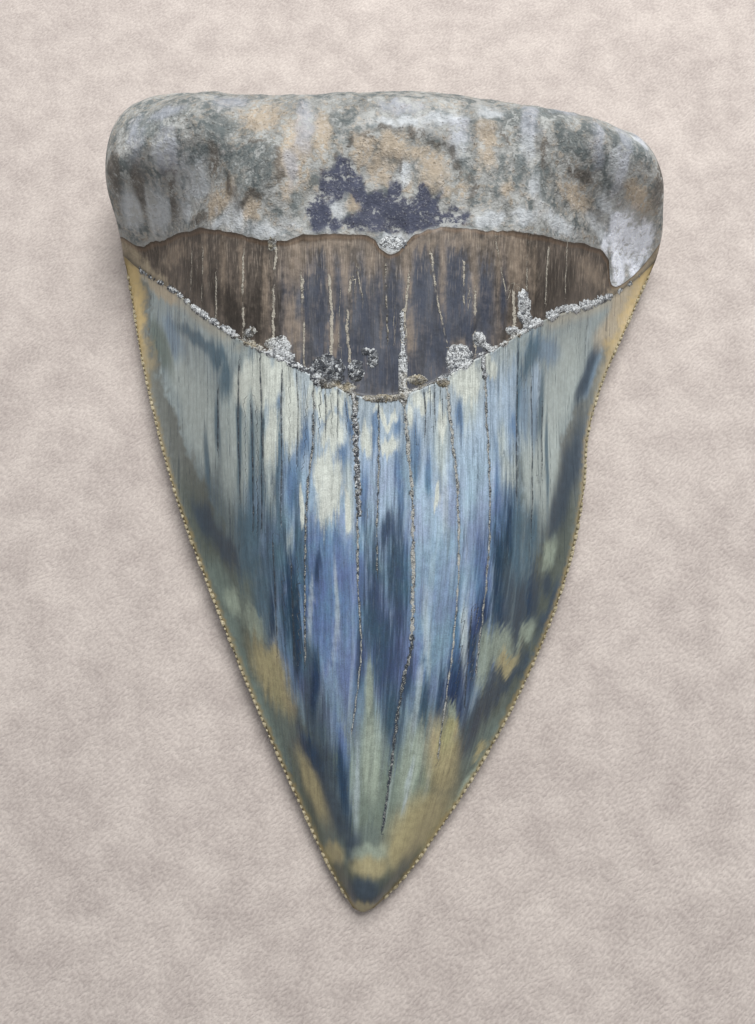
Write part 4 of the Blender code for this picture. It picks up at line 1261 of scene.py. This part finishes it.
serrationColours = {"bead": "#8b8062", "pale": "#bdb398", "root": "#57503d"}
serrationFinish = {"roughness": 0.45, "bump": 0.06}


def makeSerrationMaterial():
    material, tree, shader = startMaterial("yellowedEdge")
    colours = pickColours(serrationColours)
    place = readPlaceMm(tree)
    mottle = speckle(tree, place, 0.8, 3.0)
    grit = speckle(tree, place, 0.2, 3.0)
    base = tint(tree, mottle, colours["bead"], colours["pale"])
    base = tint(tree, fade(tree, grit, 0.5, 0.9, 0.0, 0.7), base, colours["root"])
    rough = plus(tree, serrationFinish["roughness"], times(tree, grit, 0.2))
    finishShader(tree, shader, base, rough, grit, serrationFinish)
    return material


enamel, smoothBand, rootStone = makeEnamel(), makeBand(), makeRootStone()
crustMaterial, serrationMaterial = makeCrustMaterial(), makeSerrationMaterial()
for material in (enamel, smoothBand, rootStone):
    tooth.data.materials.append(material)
print("materials made")


# Mineral crust along the chevron. Lumps: x, y, radius along x, radius along y, height.
# Seams: points, width, height. Rim: x, width, height.
chevronCrust = {
    "spacing": 0.15,
    "sink": 0.35,
    "trim": 0.07,
    "grainSize": 0.5,
    "xRange": (-37.0, 38.0),
    "yRange": (-10.0, 34.0),
    "lumps": [
        (-13.5, 12.0, 1.2, 1.5, 0.5), (-12.4, 11.0, 0.7, 0.6, 0.4), (-14.8, 12.9, 0.8, 0.6, 0.35),
        (-7.7, 9.0, 2.1, 2.0, 0.65), (-9.3, 9.2, 0.9, 0.8, 0.4), (-4.1, 9.2, 1.1, 1.3, 0.42),
        (-2.0, 10.6, 0.7, 1.2, 0.4), (-2.9, 11.5, 0.6, 0.5, 0.3), (-5.2, 7.2, 1.2, 0.7, 0.35),
        (-0.9, 5.8, 2.5, 0.6, 0.45), (3.5, 8.2, 1.2, 0.55, 0.6), (8.8, 10.9, 1.6, 1.6, 0.55),
        (8.0, 10.2, 0.9, 0.9, 0.5), (6.6, 7.7, 0.9, 0.6, 0.4), (11.3, 13.4, 0.8, 0.8, 0.7),
        (12.4, 12.6, 0.7, 0.5, 0.4), (16.0, 15.3, 1.1, 0.55, 0.4), (17.3, 19.0, 0.9, 1.3, 0.55),
        (17.6, 17.4, 1.0, 0.9, 0.45), (19.6, 17.6, 0.7, 0.5, 0.4), (0.5, 24.0, 1.7, 0.9, 0.35),
        (-14.5, 24.3, 0.6, 0.8, 0.25), (-17.6, 14.6, 0.9, 0.6, 0.4),
    ],
    "seams": [
        ([(10.9, 1.7), (5.6, 1.75)], 0.9, 0.4), ([(16.0, 1.55), (10.9, 1.7)], 0.4, 0.2),
        ([(6.4, -4.3), (0.0, -4.1), (-8.0, -3.7)], 0.75, 0.14),
        ([(11.6, 11.6), (8.8, 12.0)], 0.5, 0.25),
    ],
    "rim": [
        (-34.0, 0.6, 0.2), (-30.0, 0.75, 0.28), (-24.0, 0.95, 0.34), (-18.0, 1.15, 0.42),
        (-14.0, 1.1, 0.42), (-6.0, 0.8, 0.3), (0.0, 0.6, 0.25), (8.0, 0.9, 0.32),
        (15.0, 0.9, 0.34), (20.0, 1.4, 0.4), (30.0, 1.4, 0.34), (34.0, 0.9, 0.2),
    ],
    "pale": [
        (-13.3, 12.0, 2.4, 1.8, 0.0), (9.0, 11.0, 2.0, 1.6, 0.0), (11.3, 13.4, 1.2, 1.2, 0.0),
        (17.4, 18.6, 1.6, 2.2, 0.0), (0.5, 24.0, 2.4, 1.6, 0.0), (24.0, 21.0, 4.0, 8.0, 1.3),
        (1.7, 12.0, 1.0, 5.0, 0.0), (-26.0, 22.0, 6.0, 4.0, -1.0), (16.0, 15.6, 1.4, 1.0, 0.0),
    ],
    "dark": [(-7.6, 8.9, 2.3, 2.0, 0.0), (-4.1, 9.2, 1.2, 1.4, 0.0)],
    "tan": [
        (-0.9, 5.8, 3.0, 1.0, 0.0), (3.5, 8.2, 1.7, 1.0, 0.0), (-5.6, 6.8, 2.0, 0.8, 0.0),
        (18.0, 14.0, 3.0, 1.0, 0.4), (-14.5, 24.3, 0.9, 1.0, 0.0), (7.0, 7.4, 1.6, 0.8, 0.0),
        (-17.0, 13.6, 2.4, 1.0, 0.0),
    ],
}


def crustThickness(x, y):
    across = acrossAt(x, y)
    fromChevron = y - form["chevron"](across)
    at, widths, heights = np.array(chevronCrust["rim"]).T
    width, height = np.interp(x, at, widths), np.interp(x, at, heights)
    patchy = 0.55 + 0.9 * noiseAt(x, y, 1.5, 1.5, 31.0)
    fromRim = (fromChevron - 0.35 * width) / (0.55 * width)
    thickness = height * np.exp(-fromRim ** 2) * np.clip(patchy, 0.0, 1.2)
    for centreX, centreY, radiusX, radiusY, lift in chevronCrust["lumps"]:
        apart = ((x - centreX) / radiusX) ** 2 + ((y - centreY) / radiusY) ** 2
        thickness = np.maximum(thickness, lift * np.exp(-1.5 * apart ** 1.5))
    for index, (path, seamWidth, lift) in enumerate(chevronCrust["seams"]):
        along = [point[0] for point in path]
        middle = smoothCurve(path)(y) + 0.12 * noiseAt(np.zeros_like(y), y, 1.0, 0.8, 50.0 + index)
        beyond = np.maximum(0.0, np.maximum(y - max(along), min(along) - y))
        apart = np.hypot(x - middle, beyond) / (seamWidth / 2)
        thickness = np.maximum(thickness, lift * np.exp(-0.7 * apart ** 4))
    grains = grainsAt(x, y, chevronCrust["grainSize"], 33.0)
    grains = 0.65 * grains + 0.35 * grainsAt(x, y, chevronCrust["grainSize"] / 2.2, 35.0)
    crumble = 0.5 + 0.7 * grains + 0.5 * noiseAt(x, y, 0.7, 0.7, 37.0)
    return thickness * crumble


def buildCrust():
    spacing = chevronCrust["spacing"]
    xs, ys = np.arange(*chevronCrust["xRange"], spacing), np.arange(*chevronCrust["yRange"], spacing)
    x, y = np.meshgrid(xs, ys)
    fromChevron = y - form["chevron"](acrossAt(x, y))
    wanted = (np.abs(fromChevron) < 3.0) | ((np.abs(x) < 19.0) & (fromChevron > 0) & (y < 26.0))
    wanted |= (np.abs(x + 4.0) < 0.8) & (y < 8.0)
    thickness = np.zeros_like(x)
    thickness[wanted] = crustThickness(x[wanted], y[wanted])
    full = thickness > chevronCrust["trim"]
    cells = full[:-1, :-1] | full[1:, :-1] | full[:-1, 1:] | full[1:, 1:]
    used = np.zeros_like(full)
    used[:-1, :-1] |= cells
    used[1:, :-1] |= cells
    used[:-1, 1:] |= cells
    used[1:, 1:] |= cells
    ux, uy, thick = x[used], y[used], np.where(full, thickness, -0.06)[used]
    ground = innerFace(ux, uy, acrossAt(ux, uy))
    count = len(ux)
    number = np.full(x.shape, -1)
    number[used] = np.arange(count)
    top = np.stack([ux, uy, ground + thick], -1)
    bottom = np.stack([ux, uy, ground - chevronCrust["sink"]], -1)
    faces, edges = [], {}
    for row, column in zip(*np.nonzero(cells)):
        a, b = number[row, column], number[row, column + 1]
        c, d = number[row + 1, column + 1], number[row + 1, column]
        faces.append((a, b, c, d))
        faces.append((d + count, c + count, b + count, a + count))
        for edge in ((a, b), (b, c), (c, d), (d, a)):
            if edge[::-1] in edges:
                del edges[edge[::-1]]
            else:
                edges[edge] = True
    faces += [(b, a, a + count, b + count) for a, b in edges]
    data = bpy.data.meshes.new("chevronCrust")
    data.from_pydata((np.concatenate([top, bottom]) * mm).tolist(), [], faces)
    bothX, bothY = np.tile(ux, 2), np.tile(uy, 2)
    pale = 0.5 + 0.5 * strokeField(bothX, bothY, chevronCrust["pale"])
    pale -= 0.3 * strokeField(bothX, bothY, chevronCrust["dark"])
    setField(data, "crustPale", pale + 0.2 * noiseAt(bothX, bothY, 2.0, 2.0, 39.0))
    setField(data, "crustTan", strokeField(bothX, bothY, chevronCrust["tan"]))
    data.materials.append(crustMaterial)
    data.shade_smooth()
    return makeObject("chevronCrust", data)


crust = buildCrust()
print("crust", len(crust.data.polygons), "faces")


# The fine teeth of both cutting edges.
cuttingEdge = {
    "pitch": 0.8, "length": 0.8, "reach": 0.26, "thickness": 0.42, "startY": -53.8, "endY": 31.5,
    "points": 120, "sides": 8, "unevenness": 0.55, "largest": 1.25, "seed": 4,
}


def serrationShape():
    # One tooth of the edge: a rounded wedge, long along X and pointing along Y.
    data = bpy.data.meshes.new("serration")
    half, reach, thick = cuttingEdge["length"] / 2, cuttingEdge["reach"], cuttingEdge["thickness"] / 2
    sides = cuttingEdge["sides"]
    rings = [(-0.5, 1.0, 1.0), (0.0, 1.0, 0.95), (0.6, 0.72, 0.6), (1.0, 0.3, 0.2)]
    points, faces = [], []
    for out, longer, thicker in rings:
        for turn in range(sides):
            angle = math.pi * 2 * (turn + 0.5) / sides
            across, up = math.cos(angle), math.sin(angle)
            points.append((across * half * longer, out * reach, up * thick * thicker))
    for ring in range(len(rings) - 1):
        for turn in range(sides):
            a, b = ring * sides + turn, ring * sides + (turn + 1) % sides
            faces.append((a, a + sides, b + sides, b))
    faces.append(tuple(range(sides)))
    faces.append(tuple(reversed(range(len(points) - sides, len(points)))))
    data.from_pydata([tuple(c * mm for c in point) for point in points], [], faces)
    return makeObject("serration", data)


def edgeLine(side):
    ys = np.linspace(cuttingEdge["startY"], cuttingEdge["endY"], cuttingEdge["points"])
    if side < 0:
        ys = ys[::-1]
    inset = form["edgeInset"]
    xs = form["leftEdge"](ys) + inset if side < 0 else form["rightEdge"](ys) - inset
    data = bpy.data.meshes.new("edgeLine")
    points = np.stack([xs, ys, form["seamHeight"](ys)], -1) * mm
    data.from_pydata(points.tolist(), [(i, i + 1) for i in range(len(ys) - 1)], [])
    return makeObject("edgeLine", data)


def makeSerrationTree(shape):
    tree = bpy.data.node_groups.new("serrationsOnEdge", "GeometryNodeTree")
    add = tree.interface.new_socket
    add("Edge", in_out="INPUT", socket_type="NodeSocketGeometry")
    pitch = add("Pitch", in_out="INPUT", socket_type="NodeSocketFloat")
    uneven = add("Unevenness", in_out="INPUT", socket_type="NodeSocketFloat")
    add("Serrations", in_out="OUTPUT", socket_type="NodeSocketGeometry")
    given, result = addNode(tree, "NodeGroupInput"), addNode(tree, "NodeGroupOutput")
    curve = addNode(tree, "GeometryNodeMeshToCurve", {"Mesh": given.outputs["Edge"]})
    points = addNode(tree, "GeometryNodeCurveToPoints", {
        "Curve": curve.outputs[0], "Length": given.outputs["Pitch"]}, mode="LENGTH")
    source = addNode(tree, "GeometryNodeObjectInfo", {"Object": shape})
    size = addNode(tree, "FunctionNodeRandomValue", {
        2: minus(tree, 1.0, given.outputs["Unevenness"]), 3: cuttingEdge["largest"],
        "Seed": cuttingEdge["seed"]}, data_type="FLOAT")
    facing = addNode(tree, "FunctionNodeAxesToRotation", {
        "Primary Axis": points.outputs["Tangent"], "Secondary Axis": (0.0, 0.0, 1.0)},
        primary_axis="X", secondary_axis="Z")
    placed = addNode(tree, "GeometryNodeInstanceOnPoints", {
        "Points": points.outputs["Points"], "Instance": source.outputs["Geometry"],
        "Rotation": facing.outputs[0], "Scale": size.outputs[1]})
    real = addNode(tree, "GeometryNodeRealizeInstances", {"Geometry": placed.outputs[0]})
    finish = addNode(tree, "GeometryNodeSetMaterial", {
        "Geometry": real.outputs[0], "Material": serrationMaterial})
    tree.links.new(finish.outputs[0], result.inputs[0])
    return tree, {pitch.identifier: cuttingEdge["pitch"] * mm, uneven.identifier: cuttingEdge["unevenness"]}


def bakeNodes(piece, tree, values, name):
    modifier = piece.modifiers.new(name, "NODES")
    modifier.node_group = tree
    for identifier, value in values.items():
        modifier[identifier] = value
    view = bpy.context.evaluated_depsgraph_get()
    data = bpy.data.meshes.new_from_object(piece.evaluated_get(view))
    data.name = name
    piece.modifiers.remove(modifier)
    return data


def joinMeshes(name, meshes, material):
    joined = bmesh.new()
    for data in meshes:
        joined.from_mesh(data)
    data = bpy.data.meshes.new(name)
    joined.to_mesh(data)
    joined.free()
    data.materials.clear()
    data.materials.append(material)
    data.shade_smooth()
    return makeObject(name, data)


def buildSerrations():
    shape = serrationShape()
    tree, values = makeSerrationTree(shape)
    baked = []
    for side in (-1, 1):
        line = edgeLine(side)
        baked.append(bakeNodes(line, tree, values, "serrations"))
        bpy.data.objects.remove(line)
    bpy.data.objects.remove(shape)
    return joinMeshes("serrations", baked, serrationMaterial)


serrations = buildSerrations()
print("serrations", len(serrations.data.polygons), "faces")


# Loose grains that lie on the crust, per square millimetre and with their radii.
crustGrains = {
    "density": 1.6, "smallest": 0.06, "largest": 0.15, "steepest": 0.2,
    "placeSeed": 11, "sizeSeed": 3, "turnSeed": 5, "fullTurn": 6.3,
}


def grainShape():
    made = bmesh.new()
    bmesh.ops.create_icosphere(made, subdivisions=1, radius=1.0 * mm)
    for vert in made.verts:
        vert.co *= 0.85 + 0.3 * abs(noise.noise(vert.co * 900))
    data = bpy.data.meshes.new("crustGrain")
    made.to_mesh(data)
    made.free()
    return makeObject("crustGrain", data)


def makeGrainTree(shape):
    tree = bpy.data.node_groups.new("grainsOnCrust", "GeometryNodeTree")
    add = tree.interface.new_socket
    add("Crust", in_out="INPUT", socket_type="NodeSocketGeometry")
    density = add("Density", in_out="INPUT", socket_type="NodeSocketFloat")
    smallest = add("Smallest", in_out="INPUT", socket_type="NodeSocketFloat")
    largest = add("Largest", in_out="INPUT", socket_type="NodeSocketFloat")
    add("Grains", in_out="OUTPUT", socket_type="NodeSocketGeometry")
    given, result = addNode(tree, "NodeGroupInput"), addNode(tree, "NodeGroupOutput")
    normal = addNode(tree, "GeometryNodeInputNormal").outputs[0]
    upward = addNode(tree, "ShaderNodeSeparateXYZ", {"Vector": normal}).outputs["Z"]
    facesUp = addNode(tree, "FunctionNodeCompare", {0: upward, 1: crustGrains["steepest"]},
                      data_type="FLOAT", operation="GREATER_THAN")
    points = addNode(tree, "GeometryNodeDistributePointsOnFaces", {
        "Mesh": given.outputs["Crust"], "Selection": facesUp.outputs[0], "Density": given.outputs["Density"],
        "Seed": crustGrains["placeSeed"]})
    source = addNode(tree, "GeometryNodeObjectInfo", {"Object": shape})
    size = addNode(tree, "FunctionNodeRandomValue", {
        2: given.outputs["Smallest"], 3: given.outputs["Largest"], "Seed": crustGrains["sizeSeed"]},
        data_type="FLOAT")
    turn = addNode(tree, "FunctionNodeRandomValue", {
        0: (0.0, 0.0, 0.0), 1: (crustGrains["fullTurn"],) * 3, "Seed": crustGrains["turnSeed"]},
        data_type="FLOAT_VECTOR")
    placed = addNode(tree, "GeometryNodeInstanceOnPoints", {
        "Points": points.outputs["Points"], "Instance": source.outputs["Geometry"],
        "Rotation": turn.outputs[0], "Scale": size.outputs[1]})
    real = addNode(tree, "GeometryNodeRealizeInstances", {"Geometry": placed.outputs[0]})
    finish = addNode(tree, "GeometryNodeSetMaterial", {
        "Geometry": real.outputs[0], "Material": crustMaterial})
    tree.links.new(finish.outputs[0], result.inputs[0])
    return tree, {
        density.identifier: crustGrains["density"] * 1e6,
        smallest.identifier: crustGrains["smallest"],
        largest.identifier: crustGrains["largest"],
    }


def buildCrustGrains():
    shape = grainShape()
    tree, values = makeGrainTree(shape)
    data = bakeNodes(crust, tree, values, "crustGrains")
    bpy.data.objects.remove(shape)
    places = np.empty(len(data.vertices) * 3)
    data.vertices.foreach_get("co", places)
    x, y = places[0::3] / mm, places[1::3] / mm
    for name in ("crustPale", "crustTan"):
        if name in data.attributes:
            data.attributes.remove(data.attributes[name])
    setField(data, "crustPale", 0.5 + 0.5 * strokeField(x, y, chevronCrust["pale"]))
    setField(data, "crustTan", strokeField(x, y, chevronCrust["tan"]))
    return makeObject("crustGrains", data)


grains = buildCrustGrains()
print("crust grains", len(grains.data.polygons), "faces")


# The cloth floor under the tooth.
floorLook = {
    "size": 900.0, "drop": 0.02, "pale": "#cec5be", "shade": "#9a908c", "napTurn": 0.8,
    "roughness": 0.85, "specular": 0.2, "bump": 0.08,
}


def buildFloor():
    made = bmesh.new()
    bmesh.ops.create_grid(made, x_segments=1, y_segments=1, size=floorLook["size"] * mm)
    data = bpy.data.meshes.new("floor")
    made.to_mesh(data)
    made.free()
    material, tree, shader = startMaterial("paleFloor")
    place = readPlaceMm(tree)
    turned = addNode(tree, "ShaderNodeVectorRotate", {
        "Vector": place, "Angle": floorLook["napTurn"]}, rotation_type="Z_AXIS")
    cloud = speckle(tree, place, 16.0, 3.0)
    mottle = speckle(tree, place, 4.5, 4.0)
    nap = fibres(tree, turned.outputs[0], 0.3, 0.6, 71.0, 3.0)
    shade = weighed(tree, (cloud, 0.22), (mottle, 0.33), (nap, 0.45))
    base = tint(tree, shade, hexColour(floorLook["pale"]), hexColour(floorLook["shade"]))
    height = plus(tree, nap, times(tree, mottle, 0.8))
    tree.links.new(base, shader.inputs["Base Color"])
    tree.links.new(addBump(tree, height, floorLook["bump"]), shader.inputs["Normal"])
    shader.inputs["Roughness"].default_value = floorLook["roughness"]
    shader.inputs["Specular IOR Level"].default_value = floorLook["specular"]
    data.materials.append(material)
    made = makeObject("floor", data)
    made.location.z = -floorLook["drop"] * mm
    return made


# Soft light from all round, and two round lamps that face the tooth.
surroundings = {"colour": (0.98, 0.98, 1.0, 1.0), "strength": 0.34}
lamps = {
    "overhead": {"place": (58.0, 225.0, 355.0), "size": 270.0, "power": 2.3, "colour": (1.0, 0.99, 0.975)},
    "fill": {"place": (-30.0, -240.0, 400.0), "size": 240.0, "power": 0.14, "colour": (0.98, 0.99, 1.0)},
}
cameraLook = {
    "place": (-1.45, -32.4, 106.0),
    "tilt": 15.0,  # degrees from straight down
    "lens": 27.04,
    "sensorWidth": 36.0,
    "nearest": 5.0,
}


def addLights():
    world = bpy.data.worlds.new("studioWorld")
    world.use_nodes = True
    backdrop = world.node_tree.nodes["Background"].inputs
    backdrop["Color"].default_value = surroundings["colour"]
    backdrop["Strength"].default_value = surroundings["strength"]
    bpy.context.scene.world = world
    for name, look in lamps.items():
        light = bpy.data.lights.new(name, "AREA")
        light.shape = "DISK"
        light.size = look["size"] * mm
        light.energy = look["power"]
        light.color = look["colour"]
        lamp = makeObject(name, light)
        lamp.location = Vector(look["place"]) * mm
        lamp.rotation_euler = (-lamp.location).to_track_quat("-Z", "Y").to_euler()


def addCamera():
    camera = bpy.data.cameras.new("camera")
    camera.lens = cameraLook["lens"]
    camera.sensor_width = cameraLook["sensorWidth"]
    camera.clip_start = cameraLook["nearest"] * mm
    made = makeObject("camera", camera)
    made.location = Vector(cameraLook["place"]) * mm
    made.rotation_euler = (math.radians(cameraLook["tilt"]), 0.0, 0.0)
    bpy.context.scene.camera = made


floor = buildFloor()
addLights()
addCamera()
bpy.context.scene.view_settings.view_transform = "Standard"

for piece in (tooth, crust, serrations, grains):
    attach(piece, "root")
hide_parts("megalodon_tooth")

print("done")
